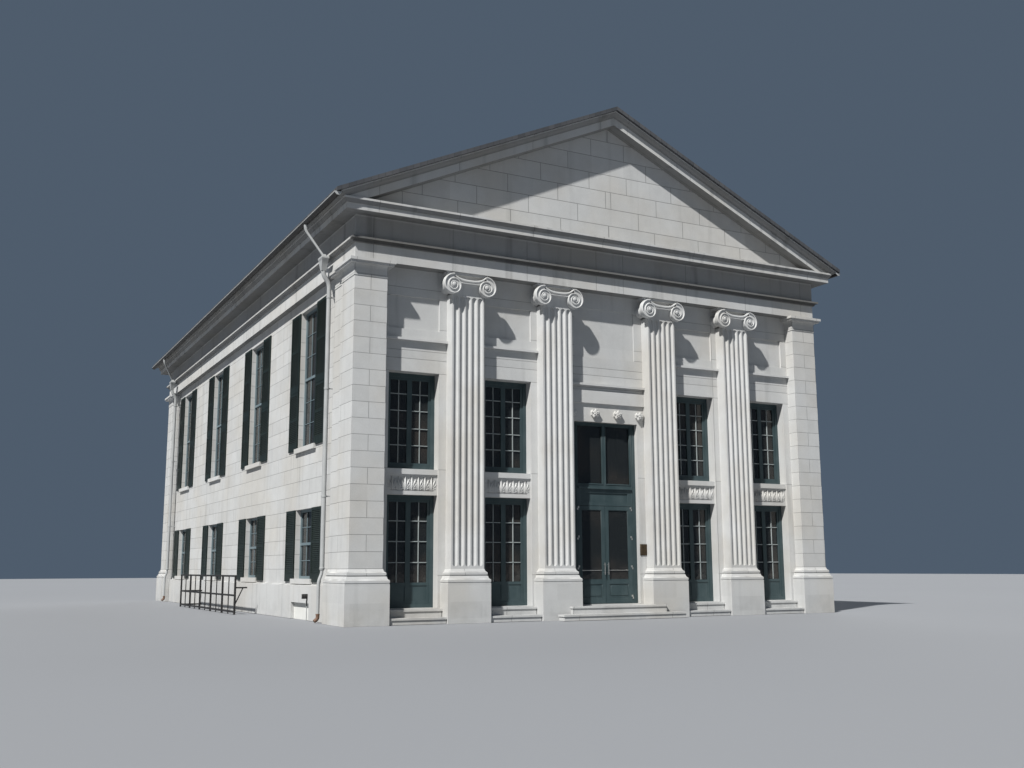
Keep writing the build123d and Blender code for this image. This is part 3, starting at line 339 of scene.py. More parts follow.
@dataclass(frozen=True)
class Granite:
    """Light grey granite, fine-pointed, in blocks with thin joints.

    The scales are for noise on metres. The other numbers are shares by which the stone gets darker or varies.
    """

    name: str
    coursing: Coursing
    light: Colour = (0.50, 0.505, 0.50)
    warm: Colour = (0.46, 0.45, 0.425)
    streaks: float = 0.18
    block_change: float = 0.10
    clouds: float = 0.16
    patches: float = 0.16
    flecks: float = 0.30
    grains: float = 0.10
    soot: float = 0.42
    damp: float = 0.16
    joint_shade: float = 0.52
    joint_depth: float = 0.004
    damp_height: float = 1.1
    cloud_scale: float = 0.55
    patch_scale: float = 3.2
    grain_scale: float = 38.0
    fleck_scale: float = 95.0
    shade_and_stain: Union[ShadeAndStain, None] = None

    def joints(self, paint: Paint) -> tuple[Value, Value]:
        """Works out the joints and one number for each block.

        Args:
            paint: the material that is being made.

        Returns:
            A mask of the joints, and the block's own random number.
        """
        cut = self.coursing
        x, y, z = paint.place()
        _, facing_y, facing_z = paint.facing()
        front = facing_y > 0.7
        level = (z - cut.start) / cut.course
        row = level.floor()
        luck = paint.chance(paint.spot(row, front, 3.0))
        along_front = (abs(x) - cut.origin_x) / cut.front
        along_side = (y - cut.origin_y) / cut.side
        along = along_front * front + along_side * (1.0 - front) + row * cut.stagger
        along = along + (luck - 0.5) * cut.wander
        length = front * cut.front + (1.0 - front) * cut.side
        gap = along.to_line() * length
        if cut.levels:
            row = z * 0.0
            for line in cut.levels:
                gap = gap.least(abs(z - line))
                row = row + (z > line)
        else:
            gap = gap.least(level.to_line() * cut.course)
        mask = (1.0 - gap.step(cut.joint * 0.6, cut.joint * 1.6)) * (facing_z < 0.5) * (z > cut.above)
        mask = mask * (y < cut.before)
        block = paint.chance(paint.spot(row, (along + 0.5).floor() + front * 40.0, 1.0))
        return mask, block

    def material(self) -> bpy.types.Material:
        """Makes the stone.

        Returns:
            The finished material.
        """
        paint = Paint(self.name)
        x, y, z = paint.place()
        _, _, facing_z = paint.facing()
        spot = paint.spot(x, y, z)
        mask, block = self.joints(paint)
        cloud = paint.noise(spot, self.cloud_scale, 4.0)
        patch = paint.noise(spot, self.patch_scale, 3.0)
        fleck = paint.noise(spot, self.fleck_scale, 2.0)
        grain = paint.noise(spot, self.grain_scale, 2.0)
        streak = paint.noise(paint.spot(x * 3.1, y * 3.1, z * 0.22), 1.0, 3.0).step(0.54, 0.78)
        soot = (facing_z > 0.6) * paint.noise(spot, 1.7, 3.0).step(0.25, 0.7)
        damp = (1.0 - z.step(0.1, self.damp_height)) * patch.step(0.3, 0.75)
        colour = paint.mix(self.light, self.warm, cloud.step(0.35, 0.7))
        shade = 1.0 + (block - 0.5) * self.block_change
        shade = shade + (cloud - 0.5) * self.clouds + (patch - 0.5) * self.patches
        shade = shade + (fleck - 0.5) * self.flecks + (grain - 0.5) * self.grains
        shade = shade * (1.0 - streak * self.streaks) * (1.0 - soot * self.soot) * (1.0 - damp * self.damp)
        shade = shade * (1.0 - mask * self.joint_shade)
        # Painted shade under the cornice, partly real staining, where the stone has it.
        if self.shade_and_stain:
            shade = self.shade_and_stain.over(shade, y, z, facing_z)
        paint.set(Base_Color=paint.scaled(colour, shade), Roughness=0.74 + patch * 0.16)
        paint.bump(fleck * 0.0012 + grain * 0.0014 - mask * self.joint_depth)
        return paint.material


@dataclass(frozen=True)
class Painted:
    """Paint on timber or metal, a little chalked and worn."""

    name: str
    colour: Colour
    chalk: Colour
    gloss: float = 0.42
    brush_marks: float = 0.12
    brush_depth: float = 0.0004

    def material(self) -> bpy.types.Material:
        """Makes the paint.

        Returns:
            The finished material.
        """
        paint = Paint(self.name)
        x, y, z = paint.place()
        cloud = paint.noise(paint.spot(x, y, z), 2.1, 3.0)
        dust = paint.noise(paint.spot(x * 9.0, y * 9.0, z * 1.2), 1.0, 3.0).step(0.45, 0.8)
        brush = paint.noise(paint.spot(x * 160.0, y * 160.0, z * 8.0), 1.0, 2.0)
        colour = paint.mix(self.colour, self.chalk, cloud.step(0.3, 0.8) * 0.6 + dust * 0.4)
        shade = 1.0 - self.brush_marks / 2 + brush * self.brush_marks
        paint.set(Base_Color=paint.scaled(colour, shade), Roughness=self.gloss + dust * 0.16,
                  Specular_IOR_Level=0.3)
        paint.bump(brush * self.brush_depth)
        return paint.material


@dataclass(frozen=True)
class Slates:
    """Dark slates laid in courses up each slope, with lengths in metres."""

    name: str
    gauge: float = 0.21
    width: float = 0.26
    lift: float = 0.009
    joint_depth: float = 0.006
    colour: Colour = (0.055, 0.058, 0.064)
    pale: Colour = (0.115, 0.118, 0.125)

    def material(self) -> bpy.types.Material:
        """Makes the slates.

        Returns:
            The finished material.
        """
        paint = Paint(self.name)
        x, y, z = paint.place()
        spot = paint.spot(x, y, z)
        level = abs(x) / self.gauge
        row = level.floor()
        along = y / self.width + row * 0.5
        slate = paint.chance(paint.spot(row, along.floor(), x > 0.0))
        rise = level - row
        joint = 1.0 - (along.to_line() * self.width).step(0.002, 0.006)
        tail = rise.step(0.90, 0.985)
        moss = paint.noise(spot, 1.1, 4.0).step(0.5, 0.8)
        colour = paint.mix(self.colour, self.pale, slate * 0.42 + moss * 0.3)
        paint.set(Base_Color=paint.scaled(colour, 1.0 - joint * 0.6 - tail * 0.45),
                  Roughness=0.74 + slate * 0.16, Specular_IOR_Level=0.3)
        paint.bump(rise * self.lift - joint * self.joint_depth + paint.noise(spot, 30.0, 2.0) * 0.002)
        return paint.material


@dataclass(frozen=True)
class Boards:
    """Floor boards that run from front to back."""

    name: str
    width: float
    colour: Colour
    pale: Colour
    gap_depth: float = 0.003

    def material(self) -> bpy.types.Material:
        """Makes the boards.

        Returns:
            The finished material.
        """
        paint = Paint(self.name)
        x, y, z = paint.place()
        across = x / self.width
        board = paint.chance(paint.spot(across.floor(), 2.0, 5.0))
        gap = 1.0 - (across.to_line() * self.width).step(0.001, 0.004)
        figure = paint.noise(paint.spot(x * 24.0, y * 1.4, z), 1.0, 4.0)
        colour = paint.mix(self.colour, self.pale, figure * 0.6 + board * 0.4)
        paint.set(Base_Color=paint.scaled(colour, 1.0 - gap * 0.7), Roughness=0.45 + figure * 0.25)
        paint.bump(figure * 0.0006 - gap * self.gap_depth)
        return paint.material


@dataclass(frozen=True)
class Glass:
    """Old window glass with a faint wave, drawn near black and mostly opaque: painted shade of the unlit
    rooms behind it.
    """

    name: str
    colour: Colour = (0.018, 0.021, 0.022)
    film_colour: Colour = (0.040, 0.036, 0.032)
    cover: float = 0.74
    wave_depth: float = 0.004

    def material(self) -> bpy.types.Material:
        """Makes the glass.

        Returns:
            The finished material.
        """
        paint = Paint(self.name)
        x, y, z = paint.place()
        wave = paint.noise(paint.spot(x, y, z), 2.3, 2.0)
        film = paint.noise(paint.spot(x, y, z), 0.8, 3.0)
        # The near-black colour and high cover paint in the shade of the rooms behind the glass.
        paint.set(Base_Color=paint.mix(self.colour, self.film_colour, film.step(0.4, 0.7)),
                  Roughness=0.03 + film * 0.05, Alpha=self.cover + film * 0.1, IOR=1.5)
        paint.bump(wave * self.wave_depth)
        return paint.material


@dataclass(frozen=True)
class Metal:
    """Bare or dark metal with a brushed or pitted skin."""

    name: str
    colour: Colour
    dull: Colour
    rough: float = 0.32
    metallic: float = 1.0
    pits: float = 0.0003

    def material(self) -> bpy.types.Material:
        """Makes the metal.

        Returns:
            The finished material.
        """
        paint = Paint(self.name)
        x, y, z = paint.place()
        spot = paint.spot(x, y, z)
        cloud = paint.noise(spot, 14.0, 3.0)
        pit = paint.noise(spot, 120.0, 2.0)
        paint.set(Base_Color=paint.mix(self.colour, self.dull, cloud.step(0.35, 0.8)),
                  Roughness=self.rough + cloud * 0.18, Metallic=self.metallic)
        paint.bump(pit * self.pits)
        return paint.material


@dataclass(frozen=True)
class GutterMetal:
    """Dark weathered gutter, partly dark paint and partly painted shade, with a painted highlight along its
    top above a height and a painted reflection on its end caps.
    """

    name: str
    painted_highlight_above: float = 11.605
    # dark is dark paint with painted shade; pale is the painted highlight on the top and the painted
    # reflection on the end caps.
    dark: Colour = (0.030, 0.028, 0.026)
    pale: Colour = (0.40, 0.41, 0.41)
    pits: float = 0.0006

    def material(self) -> bpy.types.Material:
        """Makes the metal.

        Returns:
            The finished material.
        """
        paint = Paint(self.name)
        x, y, z = paint.place()
        _, facing_y, _ = paint.facing()
        cloud = paint.noise(paint.spot(x * 2.0, y * 2.0, z * 9.0), 1.0, 3.0)
        # Pale above the height is painted highlight, pale on faces looking along y is painted reflection; the
        # rest is dark paint with painted shade.
        light = paint.math("MAXIMUM", z > self.painted_highlight_above, facing_y > 0.7)
        colour = paint.mix(self.dark, self.pale, light)
        paint.set(Base_Color=paint.scaled(colour, 0.8 + cloud * 0.4), Roughness=0.45 + cloud * 0.2,
                  Metallic=0.15)
        paint.bump(paint.noise(paint.spot(x, y, z), 60.0, 2.0) * self.pits)
        return paint.material


@dataclass(frozen=True)
class StudioFloor:
    """The plain pale floor that the building stands on."""

    name: str = "studio_floor"
    colour: Colour = (0.205, 0.212, 0.225)
    pale: Colour = (0.222, 0.23, 0.243)

    def material(self) -> bpy.types.Material:
        """Makes the floor.

        Returns:
            The finished material.
        """
        paint = Paint(self.name)
        x, y, z = paint.place()
        cloud = paint.noise(paint.spot(x, y, z), 0.05, 2.0)
        paint.set(Base_Color=paint.mix(self.colour, self.pale, cloud), Roughness=0.9)
        return paint.material


class Finishes:
    """Every finish of the building, made once."""

    FRONT_JOINTS = (1.3, 4.25, 7.0, 7.38, 7.62, 7.96, 8.29, 9.18, 9.45)

    def __init__(self) -> None:
        """Makes the stones, then the paints and the rest."""
        front_cut = Coursing(front=9.0, side=3.0, origin_x=4.2, stagger=0.0, wander=0.0,
                             levels=self.FRONT_JOINTS, before=-13.585)
        pier_cut = Coursing(front=0.965, side=1.88, origin_x=7.415, origin_y=-13.975, wander=0.0, above=1.3)
        base_cut = Coursing(start=0.0, course=1.089, front=1.93, side=1.86, origin_x=7.415, wander=0.1)
        entablature_cut = Coursing(start=-4.0, course=40.0, front=2.45, side=2.35, origin_x=7.85,
                                   stagger=0.0, wander=0.0)
        tympanum_cut = Coursing(start=11.6, course=0.56, front=1.75, wander=0.35, joint=0.008)
        self.wall = Granite("granite_wall", Coursing()).material()
        self.front_wall = Granite("granite_front_wall", front_cut).material()
        self.pier = Granite("granite_pier", pier_cut, streaks=0.12).material()
        self.base = Granite("granite_base", base_cut, streaks=0.16).material()
        self.shaft = Granite("granite_shaft", UNCUT, light=(0.54, 0.545, 0.54), streaks=0.12).material()
        # The entablature carries painted shade under its cornice, partly real staining.
        self.entablature = Granite("granite_entablature", entablature_cut, streaks=0.30,
                                   shade_and_stain=ShadeAndStain()).material()
        self.tympanum = Granite("granite_tympanum", tympanum_cut, streaks=0.10).material()
        self.carved = Granite("granite_carved", UNCUT, light=(0.56, 0.565, 0.56), streaks=0.05).material()
        self.joinery = Painted("joinery_paint", (0.034, 0.056, 0.061), (0.060, 0.086, 0.091)).material()
        self.bars = Painted("bar_paint", (0.24, 0.27, 0.27), (0.33, 0.35, 0.345)).material()
        self.sash = Painted("sash_paint", (0.12, 0.165, 0.185), (0.18, 0.225, 0.24)).material()
        self.shutter = Painted("shutter_paint", (0.008, 0.014, 0.012), (0.015, 0.024, 0.020)).material()
        # The slats take a lighter copy of the shutter paint: a painted highlight on the slats.
        self.slat = Painted("slat_paint_highlit", (0.013, 0.021, 0.018), (0.026, 0.036, 0.031)).material()
        self.pipe = Painted("pipe_paint", (0.32, 0.33, 0.33), (0.40, 0.41, 0.41), gloss=0.5).material()
        self.cast = Painted("cast_shoes", (0.13, 0.075, 0.05), (0.18, 0.12, 0.09), gloss=0.6).material()
        self.boards = Painted("opening_boards", (0.62, 0.62, 0.59), (0.70, 0.70, 0.67), gloss=0.6).material()
        self.gutter = GutterMetal("gutter_metal").material()
        self.slates = Slates("roof_slates").material()
        self.floor = Boards("floor_boards", 0.14, (0.16, 0.095, 0.055), (0.24, 0.15, 0.09)).material()
        self.glass = Glass("window_glass").material()
        self.steel = Metal("satin_steel", (0.62, 0.62, 0.60), (0.45, 0.45, 0.44)).material()
        self.bronze = Metal("dark_bronze", (0.10, 0.075, 0.05), (0.06, 0.05, 0.04), rough=0.45).material()
        self.iron = Metal("black_iron", (0.018, 0.018, 0.019), (0.035, 0.033, 0.031), rough=0.5,
                          metallic=0.3).material()

    def dress_nodes(self, nodes: dict[str, bpy.types.Object]) -> None:
        """Gives every node of the frame its finish.

        Args:
            nodes: the frame's nodes by name.
        """
        by_name = {
            self.wall: ("left_wall", "right_wall", "back_wall"),
            self.front_wall: ("front_wall_left", "front_wall_right", "front_wall_over_door"),
            self.pier: ("corner_piers", "pilaster_plinths"),
            self.base: ("base_courses", "entrance_steps", "bay_steps"),
            self.shaft: ("pilaster_shafts", "ionic_capitals", "spandrels", "front_mouldings",
                         "window_sills"),
            self.entablature: ("entablature_front", "entablature_back", "entablature_left",
                               "entablature_right", "raking_cornices", "eaves"),
            self.tympanum: ("tympana",),
            self.joinery: ("front_tall_screens", "front_upper_windows", "entrance_frame", "door_left",
                           "door_right"),
            self.sash: ("window_frames",),
            self.shutter: ("shutters",),
            self.gutter: ("gutters",),
            self.pipe: ("downspouts",),
            self.slates: ("roof_left", "roof_right"),
            self.floor: ("ground_floor", "upper_floor"),
            self.boards: ("vent_boards",),
            self.glass: ("front_glass", "transom_glass", "door_glass_left", "door_glass_right",
                         "window_glass"),
            self.steel: ("door_pull_left", "door_pull_right", "hinge_jamb_halves", "hinge_leaf_left",
                         "hinge_leaf_right"),
            self.iron: ("area_railing",),
        }
        for material, names in by_name.items():
            for name in names:
                mesh = nodes[name].data
                mesh.materials.clear()
                mesh.materials.append(material)


class Shape:
    """Points and faces gathered for one piece."""

    def __init__(self) -> None:
        """Starts with nothing."""
        self.points: list[Vector] = []
        self.faces: list[tuple[int, ...]] = []

    def add(self, points: Iterable[Point], faces: Iterable[Sequence[int]]) -> None:
        """Adds points and the faces between them.

        Args:
            points: places in metres.
            faces: indices into these points.
        """
        start = len(self.points)
        self.points.extend(Vector(point) for point in points)
        self.faces.extend(tuple(start + index for index in face) for face in faces)

    def block(self, one: Point, other: Point) -> None:
        """Adds a block between any two opposite corners.

        Args:
            one: a corner.
            other: the corner opposite.
        """
        across, along, up = (sorted(pair) for pair in zip(one, other))
        corners = [(x, y, z) for z in up for y in along for x in across]
        self.add(corners, BLOCK_FACES)

    def border(self, span: Span, levels: Span, face: float, bead: float, deep: float) -> None:
        """Adds a bead round an opening that looks to the front.

        Args:
            span: left and right edges.
            levels: bottom and top edges.
            face: y of the bead's face.
            bead: its width.
            deep: its depth.
        """
        (left, right), (low, high), back = span, levels, face + deep
        self.block((left, face, low), (left + bead, back, high))
        self.block((right - bead, face, low), (right, back, high))
        self.block((left + bead, face, low), (right - bead, back, low + bead))
        self.block((left + bead, face, high - bead), (right - bead, back, high))

    def sheet(self, rows: Sequence[Sequence[Point]], ring: bool = False, flip: bool = False) -> None:
        """Adds a grid of faces through rows of points.

        Args:
            rows: equal rows of points.
            ring: whether each row closes on itself.
            flip: whether the faces look the other way.
        """
        count = len(rows[0])
        faces = []
        for n in range(len(rows) - 1):
            for m in range(count if ring else count - 1):
                a, b = n * count + m, n * count + (m + 1) % count
                face = (a, b, b + count, a + count)
                faces.append(face[::-1] if flip else face)
        self.add([point for row in rows for point in row], faces)

    def tube(self, path: Sequence[Point], radius: float, sides: int = 8,
             end_radius: Union[float, None] = None) -> None:
        """Adds a round bar along a path, closed at both ends.

        Args:
            path: points of the middle line.
            radius: of the bar.
            sides: round the bar.
            end_radius: at the far end, if it tapers.
        """
        path = [Vector(point) for point in path]
        taper = 0.0 if end_radius is None else (end_radius - radius) / (len(path) - 1)
        rows = []
        for n, point in enumerate(path):
            reach = radius + taper * n
            before, after = path[max(n - 1, 0)], path[min(n + 1, len(path) - 1)]
            along = (after - before).normalized()
            across = along.cross(Vector(ASKEW) if abs(along.y) < 0.9 else Vector((1, 0, 0))).normalized()
            other = along.cross(across)
            turns = [math.tau * m / sides for m in range(sides)]
            rows.append([point + across * reach * math.cos(t) + other * reach * math.sin(t) for t in turns])
        self.sheet(rows, ring=True)
        near_end = len(self.points)
        far_end = near_end + 1
        self.points.extend([path[0], path[-1]])
        first, last = near_end - sides * len(path), near_end - sides
        for m in range(sides):
            following = (m + 1) % sides
            self.faces.append((near_end, first + following, first + m))
            self.faces.append((far_end, last + m, last + following))

    def lathe(self, centre: Point, axis: Axis, profile: Sequence[Span], sides: int = 24) -> None:
        """Adds a turned form.

        Args:
            centre: where the axis starts.
            axis: the way it points.
            profile: pairs of distance along the axis and radius.
            sides: round the axis.
        """
        centre = Vector(centre)
        along = Vector(axis.value)
        across = Vector((1, 0, 0)) if axis is Axis.Z else Vector((0, 0, 1))
        other = along.cross(across)
        turns = [math.tau * m / sides for m in range(sides)]
        self.sheet([[centre + along * out + (across * math.cos(t) + other * math.sin(t)) * radius
                     for t in turns] for out, radius in profile], ring=True)

    def mesh(self, name: str, material: bpy.types.Material) -> bpy.types.Mesh:
        """Makes a mesh of what was gathered.

        Args:
            name: of the mesh.
            material: its finish.

        Returns:
            The mesh.
        """
        mesh = bpy.data.meshes.new(name)
        mesh.from_pydata([tuple(point) for point in self.points], [], self.faces)
        mesh.materials.append(material)
        return mesh

    def make(self, name: str, material: bpy.types.Material, body: Body, slot: Slot,
             bevel: float = 0.0, smooth: float = 35.0) -> bpy.types.Object:
        """Turns what was gathered into a piece that rides on a body.

        Args:
            name: of the piece.
            material: its finish.
            body: what it moves with.
            slot: not used.
            bevel: width of the bevel on its edges, in metres.
            smooth: faces within this angle shade as one, in degrees.

        Returns:
            The piece.
        """
        mesh = self.mesh(name, material)
        mesh.shade_smooth()
        mesh.set_sharp_from_angle(angle=math.radians(smooth))
        piece = bpy.data.objects.new(name, mesh)
        bpy.context.collection.objects.link(piece)
        if bevel:
            softened = piece.modifiers.new("softened_edges", "BEVEL")
            softened.width = bevel
            softened.segments = 1
            softened.limit_method = "ANGLE"
        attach(piece, body.value)
        LOG.info("%s: %d faces on %s", name, len(self.faces), body.value)
        return piece


class Faces:
    """Faces and levels of the frame that pieces sit on, in metres."""

    def __init__(self) -> None:
        """Reads them from the boxes of the frame's nodes."""
        self.front_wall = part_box("front_wall_left")[0][1]
        self.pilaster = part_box("pilaster_shafts")[0][1]
        self.side_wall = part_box("right_wall")[1][0]
        self.back_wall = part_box("back_wall")[1][1]
        self.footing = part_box("base_courses")[0][0]
        self.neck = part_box("pilaster_shafts")[1][2]
        self.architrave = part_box("corner_piers")[1][2]

    def window_walls(self) -> tuple["WindowWall", ...]:
        """Lists the walls that have shuttered windows."""
        return (WindowWall("left", (0, 1, 0), (-1, 0, 0), self.side_wall, SIDE_WINDOWS),
                WindowWall("right", (0, 1, 0), (1, 0, 0), self.side_wall, SIDE_WINDOWS),
                WindowWall("back", (1, 0, 0), (0, 1, 0), self.back_wall, BACK_WINDOWS))


@dataclass(frozen=True)
class WindowWall:
    """One wall with rows of shuttered windows.

    It has the way along it, the way out of it, how far out its face is and its windows' places along it.
    """

    name: str
    along: Point
    out: Point
    face: float
    windows: tuple[float, ...]

    def spot(self, at: float, out: float, up: float) -> Vector:
        """Finds a point of the wall.

        Args:
            at: place along the wall.
            out: distance out of its face.
            up: height above the ground.

        Returns:
            The point in the building's frame.
        """
        return Vector(self.along) * at + Vector(self.out) * (self.face + out) + Vector((0, 0, up))


@dataclass
class Dressing:
    """One sub-assembly that the scene adds, with the finishes and the faces that it uses."""

    finishes: Finishes
    faces: Faces

    def build(self) -> None:
        """Makes its pieces."""
        raise NotImplementedError


@dataclass
class FrontGlazing(Dressing):
    """Glazing bars of the tall front bays."""

    glass_near: float = 0.075
    glass_far: float = 0.58
    setback: float = 0.35
    deep: float = 0.065
    bar: float = 0.026
    screen: Span = (1.11, 3.34)
    screen_bars: tuple[float, ...] = (1.66, 2.24, 2.81)
    upper: Span = (4.44, 6.81)
    upper_bars: tuple[float, ...] = (4.94, 5.42, 5.93, 6.41)

    def build(self) -> None:
        """Makes the bars of both storeys."""
        half = self.bar / 2
        face = self.faces.front_wall + self.setback
        back = face + self.deep
        for name, (low, high), levels in (("tall_screen_bars", self.screen, self.screen_bars),
                                          ("upper_window_bars", self.upper, self.upper_bars)):
            shape = Shape()
            for bay in FRONT_BAYS:
                for side in (-1, 1):
                    near, far = bay + side * self.glass_near, bay + side * self.glass_far
                    middle = (near + far) / 2
                    shape.block((middle - half, face, low), (middle + half, back, high))
                    for z in levels:
                        shape.block((near, face, z - half), (far, back, z + half))
            shape.make(name, self.finishes.bars, Body.BUILDING, Slot.JOINERY, bevel=0.005)


@dataclass
class SashBars(Dressing):
    """Glazing bars of the sash windows in the sides and the back.

    A sash is given by its bottom, its top and how many rows of panes it has.
    """

    setback: float = 0.175
    deep: float = 0.05
    half: float = 0.79
    bar: float = 0.022
    columns: int = 3
    sashes: tuple[tuple[float, float, int], ...] = ((1.28, 2.215, 2), (2.295, 3.23, 2),
                                                    (5.32, 7.4, 3), (7.48, 9.56, 3))

    def window(self, shape: Shape, wall: WindowWall, at: float) -> None:
        """Adds the bars of one window.

        Args:
            shape: where they are gathered.
            wall: the wall that it stands in.
            at: the window's middle along the wall.
        """
        half = self.bar / 2
        outer, inner = -self.setback, -self.setback - self.deep
        for low, high, rows in self.sashes:
            for n in range(1, self.columns):
                middle = at - self.half + self.half * 2 * n / self.columns
                shape.block(wall.spot(middle - half, outer, low), wall.spot(middle + half, inner, high))
            for n in range(1, rows):
                level = low + (high - low) * n / rows
                shape.block(wall.spot(at - self.half, outer, level - half),
                            wall.spot(at + self.half, inner, level + half))

    def build(self) -> None:
        """Makes the bars of every sash window."""
        shape = Shape()
        for wall in self.faces.window_walls():
            for at in wall.windows:
                self.window(shape, wall, at)
        shape.make("sash_bars", self.finishes.sash, Body.BUILDING, Slot.SASH, bevel=0.004)


@dataclass
class ShutterSlats(Dressing):
    """Slats and middle rails in the leaves of the louvred shutters."""

    near: float = 0.882
    far: float = 1.822
    rail: float = 0.09
    rail_thick: float = 0.02
    foot: float = 0.24
    face: float = 0.045
    slat_heart: float = 0.029
    pitch: float = 0.056
    slat: float = 0.046
    thick: float = 0.009
    lean: float = 38.0
    leaves: tuple[Span, ...] = ((1.11, 3.31), (5.20, 7.068), (7.08, 9.64))
    middle_rail: float = 0.53

    def leaf(self, shape: Shape, wall: WindowWall, at: float, half: float, levels: Span) -> None:
        """Adds the slats of one field of a leaf.

        Args:
            shape: where they are gathered.
            wall: the wall that the leaf hangs on.
            at: the leaf's middle along the wall.
            half: half the width of the field.
            levels: bottom and top of the field.
        """
        low, high = levels
        count = int((high - low) / self.pitch)
        tilt = math.radians(self.lean)
        up, out, along = Vector((0, 0, 1)), Vector(wall.out), Vector(wall.along)
        long_way = (up * math.cos(tilt) - out * math.sin(tilt)) * self.slat / 2
        thin_way = (up * math.sin(tilt) + out * math.cos(tilt)) * self.thick / 2
        ring = [long_way * a + thin_way * b for a, b in ((-1, -1), (1, -1), (1, 1), (-1, 1))]
        for n in range(count):
            heart = wall.spot(at, self.slat_heart, low + (high - low) * (n + 0.5) / count)
            shape.sheet([[heart + along * half * side + corner for corner in ring] for side in (-1, 1)],
                        ring=True)

    def build(self) -> None:
        """Makes the slats of every leaf, one piece for each wall, and the rails between them."""
        half = (self.far - self.near) / 2 - self.rail
        half_rail = self.rail / 2
        reach = (self.near + self.far) / 2
        rails = Shape()
        for wall in self.faces.window_walls():
            slats = Shape()
            for at in (window + side * reach for window in wall.windows for side in (-1, 1)):
                for low, high in self.leaves:
                    rail = low + (high - low) * self.middle_rail
                    self.leaf(slats, wall, at, half, (low + self.foot, rail - half_rail))
                    self.leaf(slats, wall, at, half, (rail + half_rail, high - self.rail))
                    rails.block(wall.spot(at - half, self.face - self.rail_thick, rail - half_rail),
                                wall.spot(at + half, self.face, rail + half_rail))
            slats.make(f"slats_{wall.name}", self.finishes.slat, Body.BUILDING, Slot.SHUTTER)
        rails.make("shutter_rails", self.finishes.shutter, Body.BUILDING, Slot.SHUTTER, bevel=0.003)


